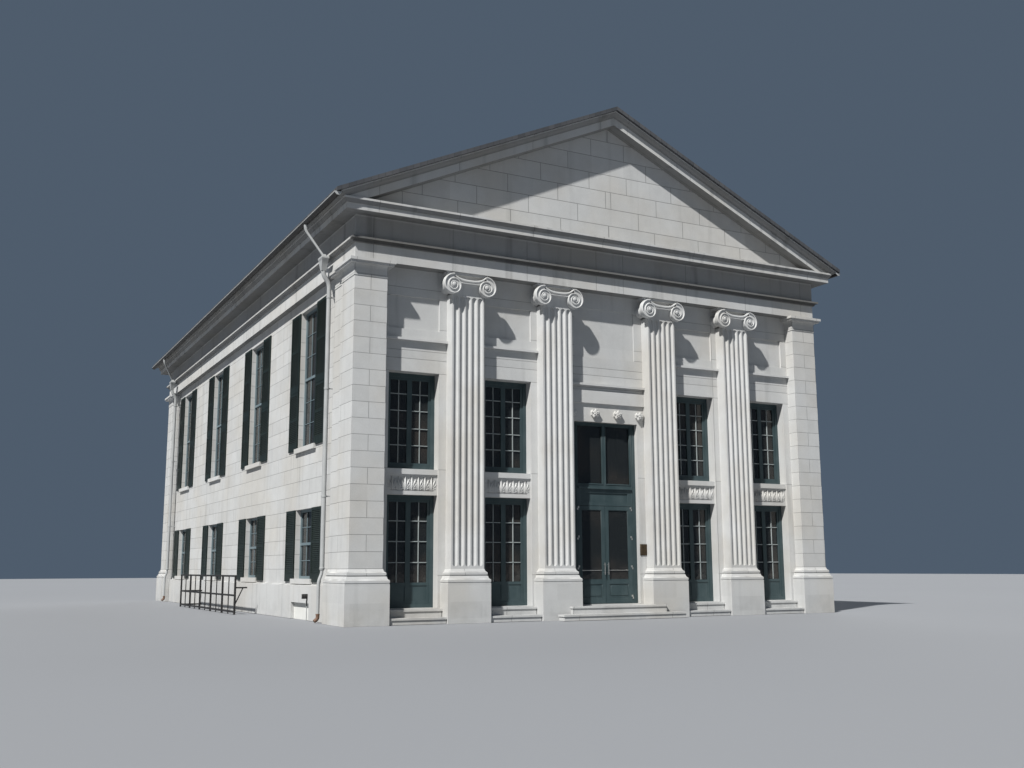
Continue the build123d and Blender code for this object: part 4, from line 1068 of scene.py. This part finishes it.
@dataclass
class Capitals(Dressing):
    """Carved capitals of the four pilasters, smooth where the frame's are faceted.

    The echinus is given by how far it stands out and its height above the neck. A band between the volutes
    is given by its height over the eyes at its ends and middle, then its thickness there.
    """

    pilasters: tuple[float, ...] = (-4.902, -1.914, 1.914, 4.902)
    shaft_half: float = 0.51
    eye_out: float = 0.525
    eye_drop: float = 0.42
    side: float = 0.015
    rise: float = 0.33
    radii: tuple[float, ...] = (0.325, 0.288, 0.254, 0.225, 0.197, 0.173, 0.149, 0.13, 0.113, 0.096)
    wide: float = 0.048
    narrow: float = 0.03
    steps: int = 10
    round_steps: int = 6
    out: float = 0.15
    thick: float = 0.13
    proud: float = 0.032
    fullness: float = 0.6
    boss: tuple[Span, ...] = ((0.0, 0.072), (-0.02, 0.072), (-0.034, 0.0576), (-0.042, 0.0324),
                              (-0.044, 0.0001))
    boss_sides: int = 20
    bolster: float = 0.2
    bolster_sides: int = 28
    bolster_steps: int = 12
    flare: float = 0.012
    belt: tuple[Span, ...] = ((-0.035, 0.0), (-0.029, 0.004), (-0.015, 0.01), (0.015, 0.01), (0.029, 0.004),
                              (0.035, 0.0))
    bands: tuple[tuple[float, ...], ...] = ((0.33, 0.173, 0.05, 0.075), (0.09, 0.073, 0.03, 0.03))
    curl: int = 3
    band_steps: int = 20
    band_set: float = 0.012
    band_round: float = 0.014
    band_root: float = 0.02
    abacus_half: float = 0.66
    abacus_tall: float = 0.08
    abacus_in: float = 0.04
    throat: float = 0.17
    echinus: tuple[Span, ...] = ((0.0, 0.0), (0.012, 0.08), (0.035, 0.17), (0.07, 0.25), (0.115, 0.32),
                                 (0.13, 0.36), (0.11, 0.39), (-0.17, 0.395))

    def spiral(self) -> list[tuple[float, float, float, float, float]]:
        """Walks the left volute from the architrave inwards, about its eye.

        Returns:
            For each point its place, the direction to the spiral's centre and the band's width.
        """
        x, z = self.side, self.rise
        quarter = math.pi / 2
        found = []
        for n, radius in enumerate(self.radii):
            start = quarter * (n + 1)
            x -= radius * math.cos(start)
            z -= radius * math.sin(start)
            for step in range(self.steps):
                done = (n + step / self.steps) / len(self.radii)
                turn = start + quarter * step / self.steps
                wide = self.wide + (self.narrow - self.wide) * done
                found.append((x + radius * math.cos(turn), z + radius * math.sin(turn),
                              -math.cos(turn), -math.sin(turn), wide))
            x += radius * math.cos(start + quarter)
            z += radius * math.sin(start + quarter)
        return found

    def volute(self, shape: Shape, centre: float, side: int) -> None:
        """Adds one volute: its disc, spiral band, eye and bolster.

        Args:
            shape: where it is gathered.
            centre: the pilaster's middle.
            side: -1 for the left volute, 1 for the right.
        """
        eye, eye_z = centre + side * self.eye_out, self.faces.architrave - self.eye_drop
        face = self.faces.pilaster - self.out
        back = face + self.thick
        walk = self.spiral()
        rim = [(eye - side * x, eye_z + z) for x, z, *_ in walk[:self.steps * 4 + 1]]
        shape.sheet([[(x, face, z) for x, z in rim], [(x, back, z) for x, z in rim]], flip=side > 0)
        for y, flip in ((face, side < 0), (back, side > 0)):
            shape.sheet([[(x, y, z) for x, z in rim], [(eye, y, eye_z)] * len(rim)], flip=flip)
        rows = []
        for x, z, inward_x, inward_z, wide in walk:
            row = []
            for turn in half_turn(self.round_steps):
                across = wide * (1 - math.cos(turn)) / 2
                row.append((eye - side * (x + inward_x * across),
                            face - self.proud * math.sin(turn) ** self.fullness,
                            eye_z + z + inward_z * across))
            rows.append(row)
        shape.sheet(rows, flip=side > 0)
        shape.lathe((eye, face, eye_z), Axis.Y, self.boss, self.boss_sides)
        deep = self.faces.front_wall - back
        shape.lathe((eye, back, eye_z), Axis.Y,
                    [(deep * turn / math.pi, self.bolster + self.flare * (1 - math.sin(turn)))
                     for turn in half_turn(self.bolster_steps)], self.bolster_sides)
        shape.lathe((eye, back + deep / 2, eye_z), Axis.Y,
                    [(place, self.bolster + beyond) for place, beyond in self.belt], self.bolster_sides)

    def band(self, shape: Shape, centre: float, sizes: tuple[float, ...]) -> None:
        """Adds one band hung between the volutes.

        Args:
            shape: where it is gathered.
            centre: the pilaster's middle.
            sizes: its height at the ends and middle, then its thickness there.
        """
        end, middle, thick_end, thick_middle = sizes
        eye_z = self.faces.architrave - self.eye_drop
        face = self.faces.pilaster - self.out + self.band_set
        root = self.faces.pilaster - self.band_root
        rows = []
        for n in range(-self.band_steps, self.band_steps + 1):
            t = n / self.band_steps
            curl = abs(t) ** self.curl
            top = eye_z + middle + (end - middle) * curl
            tall = thick_middle + (thick_end - thick_middle) * curl
            x = centre + self.eye_out * t
            front = [(x, face - self.band_round * math.sin(turn), top - tall * (1 - math.cos(turn)) / 2)
                     for turn in half_turn(self.round_steps)]
            rows.append([(x, root, top), *front, (x, root, top - tall)])
        shape.sheet(rows, flip=True)

    def capital(self, shape: Shape, centre: float) -> None:
        """Adds one capital.

        Args:
            shape: where it is gathered.
            centre: the pilaster's middle.
        """
        front, wall = self.faces.pilaster, self.faces.front_wall
        neck, top = self.faces.neck, self.faces.architrave
        left, right = centre - self.shaft_half, centre + self.shaft_half
        shape.block((left, front + self.throat, neck), (right, wall, top))
        profile = [(front + self.throat, neck)] + [(front - out, neck + up) for out, up in self.echinus]
        for x, flip in ((left, True), (right, False)):
            shape.sheet([[(x, y, z) for y, z in profile], [(x, wall, z) for _, z in profile]], flip=flip)
        shape.sheet([[(x, y, z) for y, z in profile] for x in (left, right)], flip=True)
        shape.block((centre - self.abacus_half, front + self.abacus_in, top - self.abacus_tall),
                    (centre + self.abacus_half, wall, top))
        for sizes in self.bands:
            self.band(shape, centre, sizes)
        for side in (-1, 1):
            self.volute(shape, centre, side)

    def build(self) -> None:
        """Makes the four capitals in one piece and hides the frame's faceted ones."""
        shape = Shape()
        for centre in self.pilasters:
            self.capital(shape, centre)
        piece = shape.make("carved_capitals", self.finishes.shaft, Body.BUILDING, Slot.GRANITE, smooth=40.0)
        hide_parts("ionic_capitals")


@dataclass(frozen=True)
class Leaf:
    """Sizes of one carved leaf in metres, its turn off upright in degrees and its curl in radians.

    Its width swells along a sine from just past nought, and its middle along another from a low foot.
    """

    length: float
    wide: float
    raised: float
    turn: float = 0.0
    curl: float = 0.0
    width_start: float = 0.08
    width_pace: float = 0.75
    width_round: float = 0.8
    edge: float = 0.003
    low: float = 0.35
    lift_start: float = 0.1
    lift_span: float = 0.75

    def half(self, share: float) -> float:
        """Half its width at a share of its length."""
        swell = math.sin(math.pi * (self.width_start + (1 - self.width_start) * share ** self.width_pace))
        return self.wide / 2 * swell ** self.width_round + self.edge

    def lift(self, share: float) -> float:
        """Height of its middle at a share of its length."""
        swell = math.sin(math.pi * (self.lift_start + self.lift_span * share))
        return self.raised * (self.low + (1 - self.low) * swell)


@dataclass(frozen=True)
class PetalRing:
    """One ring of a rose: its petal, how many, how far out and forward their feet are, and the first turn."""

    petal: Leaf
    count: int
    reach: float
    lift: float
    first: float


@dataclass
class Carving(Dressing):
    """Acanthus leaves on the panels between the storeys, and the roses over the door."""

    ground_in: float = 0.127
    foot: float = 3.655
    pitch: float = 0.198
    leaves: int = 3
    spread: float = 0.0004
    lobes: tuple[Leaf, ...] = (Leaf(0.375, 0.07, 0.075), Leaf(0.35, 0.068, 0.062, 13.0, 0.35),
                               Leaf(0.28, 0.066, 0.055, 27.0, 0.55), Leaf(0.17, 0.06, 0.05, 46.0, 0.7))
    across: tuple[Span, ...] = ((-1, 0.0), (-0.75, 0.62), (0, 1.0), (0.75, 0.62), (1, 0.0))
    leaf_steps: int = 8
    roses: tuple[float, ...] = (-1.23, -0.41, 0.41, 1.23)
    rose_z: float = 6.18
    rose_out: float = 0.068
    rings: tuple[PetalRing, ...] = (PetalRing(Leaf(0.115, 0.125, 0.05, curl=0.25), 5, 0.03, 0.0, 0.0),
                                    PetalRing(Leaf(0.068, 0.085, 0.045, curl=0.25), 5, 0.02, 0.022, 0.5))
    rose_turn: float = 0.3
    boss: tuple[Span, ...] = ((0.0, 0.036), (-0.022, 0.034), (-0.036, 0.022), (-0.041, 0.0001))
    boss_out: float = 0.03
    boss_sides: int = 14

    def leaf(self, shape: Shape, foot: Point, turn: float, leaf: Leaf, curl: float) -> None:
        """Adds one leaf with a raised middle, broad beyond its waist.

        Args:
            shape: where it is gathered.
            foot: where it starts.
            turn: its direction in radians from the x axis.
            leaf: its sizes.
            curl: how much the tip turns, in radians.
        """
        x, y, z = foot
        stride = leaf.length / self.leaf_steps
        rows = []
        for n in range(self.leaf_steps + 1):
            t = n / self.leaf_steps
            angle = turn + curl * t
            half, lift = leaf.half(t), leaf.lift(t)
            rows.append([(x - math.sin(angle) * half * side, y - lift * height,
                          z + math.cos(angle) * half * side) for side, height in self.across])
            x += math.cos(angle) * stride
            z += math.sin(angle) * stride
        shape.sheet(rows)

    def acanthus(self, shape: Shape, middle: float) -> None:
        """Adds one upright leaf of the frieze: a rib, lobes that turn over and low ones.

        Args:
            shape: where it is gathered.
            middle: x of the leaf.
        """
        ground = self.faces.front_wall + self.ground_in
        for lobe in self.lobes:
            for side in ((-1, 1) if lobe.turn else (1,)):
                foot = (middle + side * lobe.turn * self.spread, ground, self.foot)
                self.leaf(shape, foot, math.pi / 2 - side * math.radians(lobe.turn), lobe, -side * lobe.curl)

    def rose(self, shape: Shape, middle: float) -> None:
        """Adds one rose: two rings of cupped petals round a boss.

        Args:
            shape: where it is gathered.
            middle: x of the rose.
        """
        face = self.faces.front_wall - self.rose_out
        for ring in self.rings:
            for n in range(ring.count):
                turn = math.tau * (n + ring.first) / ring.count + self.rose_turn
                foot = (middle + ring.reach * math.cos(turn), face - ring.lift,
                        self.rose_z + ring.reach * math.sin(turn))
                self.leaf(shape, foot, turn, ring.petal, ring.petal.curl)
        shape.lathe((middle, face - self.boss_out, self.rose_z), Axis.Y, self.boss, self.boss_sides)

    def build(self) -> None:
        """Makes the leaves and the roses."""
        panels, roses = Shape(), Shape()
        for bay in FRONT_BAYS:
            for n in range(-self.leaves, self.leaves + 1):
                self.acanthus(panels, bay + n * self.pitch)
        panels.make("panel_foliage", self.finishes.carved, Body.BUILDING, Slot.GRANITE, smooth=50.0)
        for middle in self.roses:
            self.rose(roses, middle)
        roses.make("carved_roses", self.finishes.carved, Body.BUILDING, Slot.GRANITE, smooth=50.0)


@dataclass
class EntranceTrim(Dressing):
    """Beads round the doorway's panes and transom panel, and down its jambs."""

    mullion: float = 0.06
    lap: float = 0.016
    deep: float = 0.016
    outer_bead: float = 0.018
    inner_bead: float = 0.022
    inner_in: float = 0.014
    panel: Span = (3.43, 3.82)
    panel_half: float = 0.90
    panel_bead: float = 0.02
    panel_in: float = 0.004
    jambs: tuple[float, ...] = (1.005, 1.075, 1.13)
    jamb_half: float = 0.008
    proud: float = 0.012

    def build(self) -> None:
        """Makes the trim."""
        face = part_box("door_left")[0][1]
        (_, _, low), (half, _, high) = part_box("transom_glass")
        shape = Shape()
        for left, right in ((-half, -self.mullion), (self.mullion, half)):
            shape.border((left - self.lap, right + self.lap), (low - self.lap, high + self.lap),
                         face - self.proud, self.outer_bead, self.deep)
            shape.border((left, right), (low, high), face + self.inner_in, self.inner_bead, self.deep)
        shape.border((-self.panel_half, self.panel_half), self.panel, face + self.panel_in, self.panel_bead,
                     self.deep)
        (_, _, foot), (_, _, head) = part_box("entrance_frame")
        for x in (side * jamb for jamb in self.jambs for side in (-1, 1)):
            shape.block((x - self.jamb_half, face - self.proud, foot), (x + self.jamb_half, face, head))
        shape.make("entrance_trim", self.finishes.joinery, Body.BUILDING, Slot.JOINERY, bevel=0.004)


@dataclass
class DoorDress(Dressing):
    """Beads, raised panel and push bar of one door leaf."""

    hand: Hand
    bead: float = 0.016
    deep: float = 0.012
    glass_in: float = 0.006
    panel: Span = (0.61, 1.01)
    panel_in: float = 0.004
    margin: float = 0.05
    push_z: float = 1.42
    push_in: float = 0.012
    push_radius: float = 0.008
    push_sides: int = 10
    push_gap: float = 0.005
    collar: tuple[Span, ...] = ((-0.014, 0.008), (-0.011, 0.012), (0.011, 0.012), (0.014, 0.008))
    collar_sides: int = 12
    collar_pitch: float = 0.06

    def build(self) -> None:
        """Makes the trim and the push bar, which ride on the leaf."""
        word = self.hand.value
        body = Body(f"door_{word}")
        (_, face, _), (_, back, _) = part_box(f"door_{word}")
        (left, _, low), (right, _, high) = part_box(f"door_glass_{word}")
        foot, head = self.panel
        front = face + self.panel_in
        trim = Shape()
        for y in (face + self.glass_in, back - self.glass_in - self.deep):
            trim.border((left, right), (low, high), y, self.bead, self.deep)
        trim.block((left + self.margin, front, foot + self.margin),
                   (right - self.margin, front + self.deep, head - self.margin))
        trim.border((left, right), self.panel, front, self.bead, self.deep)
        trim.make(f"door_trim_{word}", self.finishes.joinery, body, Slot.DOOR, bevel=0.004)
        push = Shape()
        y = face + self.push_in
        push.tube([(left + self.push_gap, y, self.push_z), (right - self.push_gap, y, self.push_z)],
                  self.push_radius, self.push_sides)
        count = int((right - left) / self.collar_pitch)
        for n in range(count):
            x = left + (right - left) * (n + 0.5) / count
            push.lathe((x, y, self.push_z), Axis.X, self.collar, self.collar_sides)
        push.make(f"push_bar_{word}", self.finishes.steel, body, Slot.STEEL)


@dataclass
class AreaRailing(Dressing):
    """Pickets, stub rail and brace of the railing beside the basement steps."""

    inset: float = 0.03
    below_top: float = 0.06
    posts: int = 6
    picket: float = 0.032
    stub: float = 0.40
    stub_z: float = 0.86
    stub_half: float = 0.02
    stub_tall: float = 0.05
    brace_z: float = 0.36
    brace_back: float = 0.14
    brace_radius: float = 0.022
    brace_sides: int = 8

    def build(self) -> None:
        """Makes the ironwork that the frame leaves out, one picket to a bay."""
        (line, near, ground), (_, far, top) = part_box("area_railing")
        line, near, far = line + self.inset, near + self.inset, far - self.inset
        half = self.picket / 2
        bay = (far - near) / (self.posts - 1)
        shape = Shape()
        for post in range(self.posts - 1):
            y = near + bay * (post + 0.5)
            shape.block((line - half, y - half, ground), (line + half, y + half, top - self.below_top))
        end = line + self.stub
        shape.block((line, near - self.stub_half, self.stub_z),
                    (end, near + self.stub_half, self.stub_z + self.stub_tall))
        shape.tube([(line + self.stub_half, near, self.brace_z),
                    (end - self.brace_back, near, self.stub_z + self.stub_half)], self.brace_radius,
                   self.brace_sides)
        shape.make("railing_pickets", self.finishes.iron, Body.BUILDING, Slot.IRON, bevel=0.003)


@dataclass
class RainPipes(Dressing):
    """Rainwater pipes with leader heads and shoes, round where the frame's are faceted.

    A pipe comes off the gutter's outlet, runs back to its head, and falls from there down the wall to a
    socket, a kick over the plinth and a cast shoe. A ring of the head has a height, a half width and depth.
    Bends are given by how far from a corner they start, turned forms by height and radius.
    """

    outlet_in: float = 0.1
    outlet_under: float = 0.003
    outlet_shift: float = 0.3
    outlet_radius: float = 0.035
    outlet_bend: float = 0.1
    drop: float = 0.17
    head_x: float = 8.64
    head_z: float = 10.61
    head_mouth: float = 0.06
    head_tail: float = 0.46
    pipe_x: float = 8.45
    fall: Span = (10.0, 9.73)
    fall_bend: float = 0.12
    kick_x: float = 8.54
    kick: Span = (1.38, 1.15)
    kick_bend: float = 0.08
    joint_z: float = 1.5
    foot_z: float = 0.17
    radius: float = 0.066
    lower_radius: float = 0.046
    sides: int = 16
    socket_z: float = 1.44
    socket: tuple[Span, ...] = ((0.0, 0.046), (0.05, 0.076), (0.09, 0.076), (0.1, 0.066))
    straps: tuple[float, ...] = (3.5, 6.6, 9.3)
    strap_ring: tuple[Span, ...] = ((0.0, 0.066), (0.004, 0.078), (0.05, 0.078), (0.054, 0.066))
    arm: Span = (0.01, 0.045)
    arm_half: float = 0.012
    plate_half: float = 0.09
    plate_tall: float = 0.055
    plate_thick: float = 0.012
    shoe_radius: float = 0.052
    shoe_levels: tuple[float, float, float] = (0.25, 0.13, 0.055)
    shoe_out: float = 0.1
    shoe_bend: float = 0.05
    rim_z: float = 0.23
    rim: tuple[Span, ...] = ((0.0, 0.052), (0.004, 0.06), (0.03, 0.06), (0.034, 0.046))
    places: tuple[tuple[float, int], ...] = ((-11.925, 1), (11.855, -1))
    rings: tuple[tuple[float, float, float], ...] = (
        (0.0, 0.045, 0.045), (-0.07, 0.075, 0.065), (-0.085, 0.185, 0.1), (-0.11, 0.2, 0.11),
        (-0.15, 0.2, 0.11), (-0.165, 0.185, 0.1), (-0.24, 0.15, 0.095), (-0.42, 0.085, 0.08),
        (-0.5, 0.068, 0.068))

    def bent(self, path: Sequence[Point], reach: float) -> list[Vector]:
        """Rounds the corners of a pipe's path.

        Args:
            path: its straight runs.
            reach: how far from each corner the bend starts.

        Returns:
            The path with bends.
        """
        corners = [Vector(point) for point in path]
        found = [corners[0]]
        for before, corner, after in zip(corners, corners[1:], corners[2:]):
            start = corner + (before - corner).normalized() * reach
            end = corner + (after - corner).normalized() * reach
            for n in range(6):
                t = n / 5
                found.append(start * (1 - t) ** 2 + corner * 2 * t * (1 - t) + end * t ** 2)
        return found + [corners[-1]]

    def head(self, shape: Shape, side: int, y: float, outlet: float) -> None:
        """Adds the pipe's start at the gutter and its leader head.

        Args:
            shape: where it is gathered.
            side: -1 for the left side of the building, 1 for the right.
            y: the head's place along the side.
            outlet: the outlet's place along the side.
        """
        gutter_low, gutter_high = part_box("gutters")
        outlet_x = side * (gutter_high[0] - self.outlet_in)
        outlet_z = gutter_low[2] - self.outlet_under
        path = [(outlet_x, outlet, outlet_z), (outlet_x, outlet, outlet_z - self.drop),
                (side * self.head_x, y, self.head_z - self.head_mouth)]
        shape.tube(self.bent(path, self.outlet_bend), self.radius, self.sides, self.outlet_radius)
        square = ((-1, -1), (1, -1), (1, 1), (-1, 1))
        shape.sheet([[(side * self.head_x + sx * deep, y + sy * wide, self.head_z + up) for sx, sy in square]
                     for up, wide, deep in self.rings], ring=True, flip=True)

    def strap(self, shape: Shape, side: int, y: float, z: float) -> None:
        """Adds one strap with its arm and its plate on the wall.

        Args:
            shape: where it is gathered.
            side: -1 or 1.
            y: the pipe's place along the side.
            z: the strap's foot.
        """
        wall, (low, high) = self.faces.side_wall, self.arm
        shape.lathe((side * self.pipe_x, y, z), Axis.Z, self.strap_ring, self.sides)
        shape.block((side * wall, y - self.arm_half, z + low),
                    (side * (self.pipe_x - self.radius), y + self.arm_half, z + high))
        shape.block((side * wall, y - self.plate_half, z),
                    (side * (wall + self.plate_thick), y + self.plate_half, z + self.plate_tall))

    def pipe(self, shape: Shape, side: int, y: float) -> None:
        """Adds one pipe from its head to the shoe.

        Args:
            shape: where it is gathered.
            side: -1 or 1.
            y: the pipe's place along the side.
        """
        head_x, pipe_x, kick_x = side * self.head_x, side * self.pipe_x, side * self.kick_x
        fall = [(head_x, y, self.head_z - self.head_tail), (head_x, y, self.fall[0]),
                (pipe_x, y, self.fall[1]), (pipe_x, y, self.joint_z)]
        shape.tube(self.bent(fall, self.fall_bend), self.radius, self.sides)
        foot = [(pipe_x, y, self.joint_z), (pipe_x, y, self.kick[0]), (kick_x, y, self.kick[1]),
                (kick_x, y, self.foot_z)]
        shape.tube(self.bent(foot, self.kick_bend), self.lower_radius, self.sides)
        shape.lathe((pipe_x, y, self.socket_z), Axis.Z, self.socket, self.sides)
        for z in self.straps:
            self.strap(shape, side, y, z)

    def shoe(self, shape: Shape, side: int, y: float) -> None:
        """Adds the cast shoe at the foot of a pipe.

        Args:
            shape: where it is gathered.
            side: -1 or 1.
            y: the pipe's place along the side.
        """
        x = side * self.kick_x
        top, corner, mouth = self.shoe_levels
        path = [(x, y, top), (x, y, corner), (x + side * self.shoe_out, y, mouth)]
        shape.tube(self.bent(path, self.shoe_bend), self.shoe_radius, self.sides)
        shape.lathe((x, y, self.rim_z), Axis.Z, self.rim, self.sides)

    def build(self) -> None:
        """Makes the four pipes and their shoes."""
        pipes, shoes = Shape(), Shape()
        for side in (-1, 1):
            for y, inward in self.places:
                self.head(pipes, side, y, y + inward * self.outlet_shift)
                self.pipe(pipes, side, y)
                self.shoe(shoes, side, y)
        piece = pipes.make("rain_pipes", self.finishes.pipe, Body.BUILDING, Slot.GUTTER)
        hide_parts("downspouts")
        shoes.make("pipe_shoes", self.finishes.cast, Body.BUILDING, Slot.IRON)


@dataclass
class Fittings(Dressing):
    """Small things fixed to the walls: the bare plaque and the standpipe."""

    plaque_span: Span = (1.16, 1.46)
    plaque_levels: Span = (1.87, 2.21)
    plaque_thick: float = 0.022
    field_margin: float = 0.02
    field: Span = (0.028, 0.02)
    standpipe: float = -10.17
    pipe_off: float = 0.016
    box_span: Span = (-0.15, 0.01)
    box_half: float = 0.04
    box_levels: Span = (0.63, 0.77)
    cap: tuple[Span, ...] = ((0.0, 0.05), (-0.02, 0.05), (-0.022, 0.038), (-0.03, 0.0001))
    cap_in: float = 0.07
    cap_sides: int = 14
    pipe_top: float = 0.64
    joint_z: float = 0.42
    upper_radius: float = 0.016
    lower_radius: float = 0.013
    pipe_sides: int = 10
    flange: tuple[Span, ...] = ((0.0, 0.04), (0.01, 0.04), (0.012, 0.013))

    def plaque(self) -> None:
        """Makes the bare bronze plate beside the door."""
        (left, right), (low, high) = self.plaque_span, self.plaque_levels
        wall, margin = self.faces.front_wall, self.field_margin
        face, back = self.field
        shape = Shape()
        shape.block((left, wall - self.plaque_thick, low), (right, wall, high))
        shape.block((left + margin, wall - face, low + margin), (right - margin, wall - back, high - margin))
        shape.make("bare_plaque", self.finishes.bronze, Body.BUILDING, Slot.IRON, bevel=0.005)

    def pipe(self) -> None:
        """Makes the standpipe and its outlet beside the basement opening."""
        x, y = self.faces.footing - self.pipe_off, self.standpipe
        (near, far), (low, high) = self.box_span, self.box_levels
        box, pipe = Shape(), Shape()
        box.block((x + near, y - self.box_half, low), (x + far, y + self.box_half, high))
        box.lathe((x - self.cap_in, y - self.box_half, (low + high) / 2), Axis.Y, self.cap, self.cap_sides)
        box.tube([(x, y, self.pipe_top), (x, y, self.joint_z)], self.upper_radius, self.pipe_sides)
        box.make("standpipe_box", self.finishes.iron, Body.BUILDING, Slot.IRON, bevel=0.006)
        pipe.tube([(x, y, self.joint_z), (x, y, 0.0)], self.lower_radius, self.pipe_sides)
        pipe.lathe((x, y, 0.0), Axis.Z, self.flange, self.cap_sides)
        pipe.make("standpipe", self.finishes.pipe, Body.BUILDING, Slot.GUTTER)

    def build(self) -> None:
        """Makes all the fittings."""
        self.plaque()
        self.pipe()


@dataclass(frozen=True)
class Lamp:
    """One distant light: strength, disc in degrees, the way its light travels, and colour."""

    name: str
    energy: float
    spread: float
    direction: Point
    colour: Colour

    def build(self) -> None:
        """Makes the light."""
        light = bpy.data.lights.new(self.name, "SUN")
        light.energy = self.energy
        light.angle = math.radians(self.spread)
        light.color = self.colour
        lamp = bpy.data.objects.new(self.name, light)
        lamp.rotation_euler = Vector(self.direction).to_track_quat("-Z", "Y").to_euler()
        bpy.context.collection.objects.link(lamp)


@dataclass
class Studio:
    """Pale floor, soft light and the camera at the photograph's place.

    The camera's place is in metres, its turns in degrees, its lens and sensor in millimetres.
    """

    place: tuple[float, float, float] = (-17.8594, -41.4115, 1.5009)
    yaw: float = 27.65677
    pitch: float = 9.74601
    roll: float = -0.22887
    lens: float = 37.653
    sensor: float = 36.0
    clip_end: float = 400.0
    key: Lamp = Lamp("key", 6.15, 1.2, (1.58, 1.0, -2.18), (1.0, 0.985, 0.96))
    fill: Lamp = Lamp("fill", 0.7, 35.0, (-0.8, -1.0, -0.9), (0.94, 0.97, 1.0))
    surround: tuple[float, float, float, float] = (0.52, 0.72, 1.0, 1.0)
    surround_strength: float = 0.15
    extent: float = 160.0
    floor_z: float = -0.004

    def camera(self) -> None:
        """Makes the camera and chooses it."""
        yaw, pitch, roll = (math.radians(angle) for angle in (self.yaw, self.pitch, self.roll))
        forward = Vector((math.sin(yaw) * math.cos(pitch), math.cos(yaw) * math.cos(pitch), math.sin(pitch)))
        level = Vector((math.cos(yaw), -math.sin(yaw), 0.0))
        upright = level.cross(forward)
        right = math.cos(roll) * level + math.sin(roll) * upright
        up = -math.sin(roll) * level + math.cos(roll) * upright
        data = bpy.data.cameras.new("camera")
        data.lens = self.lens
        data.sensor_width = self.sensor
        data.clip_end = self.clip_end
        camera = bpy.data.objects.new("camera", data)
        bpy.context.collection.objects.link(camera)
        turn = Matrix((right, up, -forward)).transposed().to_4x4()
        camera.matrix_world = Matrix.Translation(self.place) @ turn
        bpy.context.scene.camera = camera

    def lights(self) -> None:
        """Makes the key from the upper left, a weak fill from behind and the surround."""
        self.key.build()
        self.fill.build()
        world = bpy.data.worlds.new("pale_surround")
        world.use_nodes = True
        shade = world.node_tree.nodes["Background"]
        shade.inputs["Color"].default_value = self.surround
        shade.inputs["Strength"].default_value = self.surround_strength
        bpy.context.scene.world = world
        bpy.context.scene.view_settings.view_transform = "Standard"

    def floor(self) -> None:
        """Makes the floor, which is not part of the building."""
        shape = Shape()
        shape.sheet([[(x, y, self.floor_z) for x in (-self.extent, self.extent)]
                     for y in (-self.extent, self.extent)])
        floor = bpy.data.objects.new("studio_floor", shape.mesh("studio_floor", StudioFloor().material()))
        bpy.context.collection.objects.link(floor)
        floor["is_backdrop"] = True

    def build(self) -> None:
        """Sets up the studio."""
        self.camera()
        self.lights()
        self.floor()


def half_turn(steps: int) -> list[float]:
    """Angles from nought to half a turn, in equal steps."""
    return [math.pi * n / steps for n in range(steps + 1)]


def corners() -> list[list[float]]:
    """The shown object's box as plain numbers."""
    return [[round(float(number), 5) for number in corner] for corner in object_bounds()]


def main() -> None:
    """Dresses the frame and adds every piece."""
    logging.basicConfig(level=logging.INFO, format="%(name)s %(message)s")
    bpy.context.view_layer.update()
    finishes, faces = Finishes(), Faces()
    finishes.dress_nodes(frame["nodes"])
    parts = [FrontGlazing(finishes, faces), SashBars(finishes, faces), ShutterSlats(finishes, faces),
             Capitals(finishes, faces), Carving(finishes, faces), EntranceTrim(finishes, faces),
             DoorDress(finishes, faces, Hand.LEFT), DoorDress(finishes, faces, Hand.RIGHT),
             AreaRailing(finishes, faces), RainPipes(finishes, faces), Fittings(finishes, faces), Studio()]
    for part in parts:
        part.build()
        LOG.info("%s done", type(part).__name__)


if __name__ == "__main__":
    main()
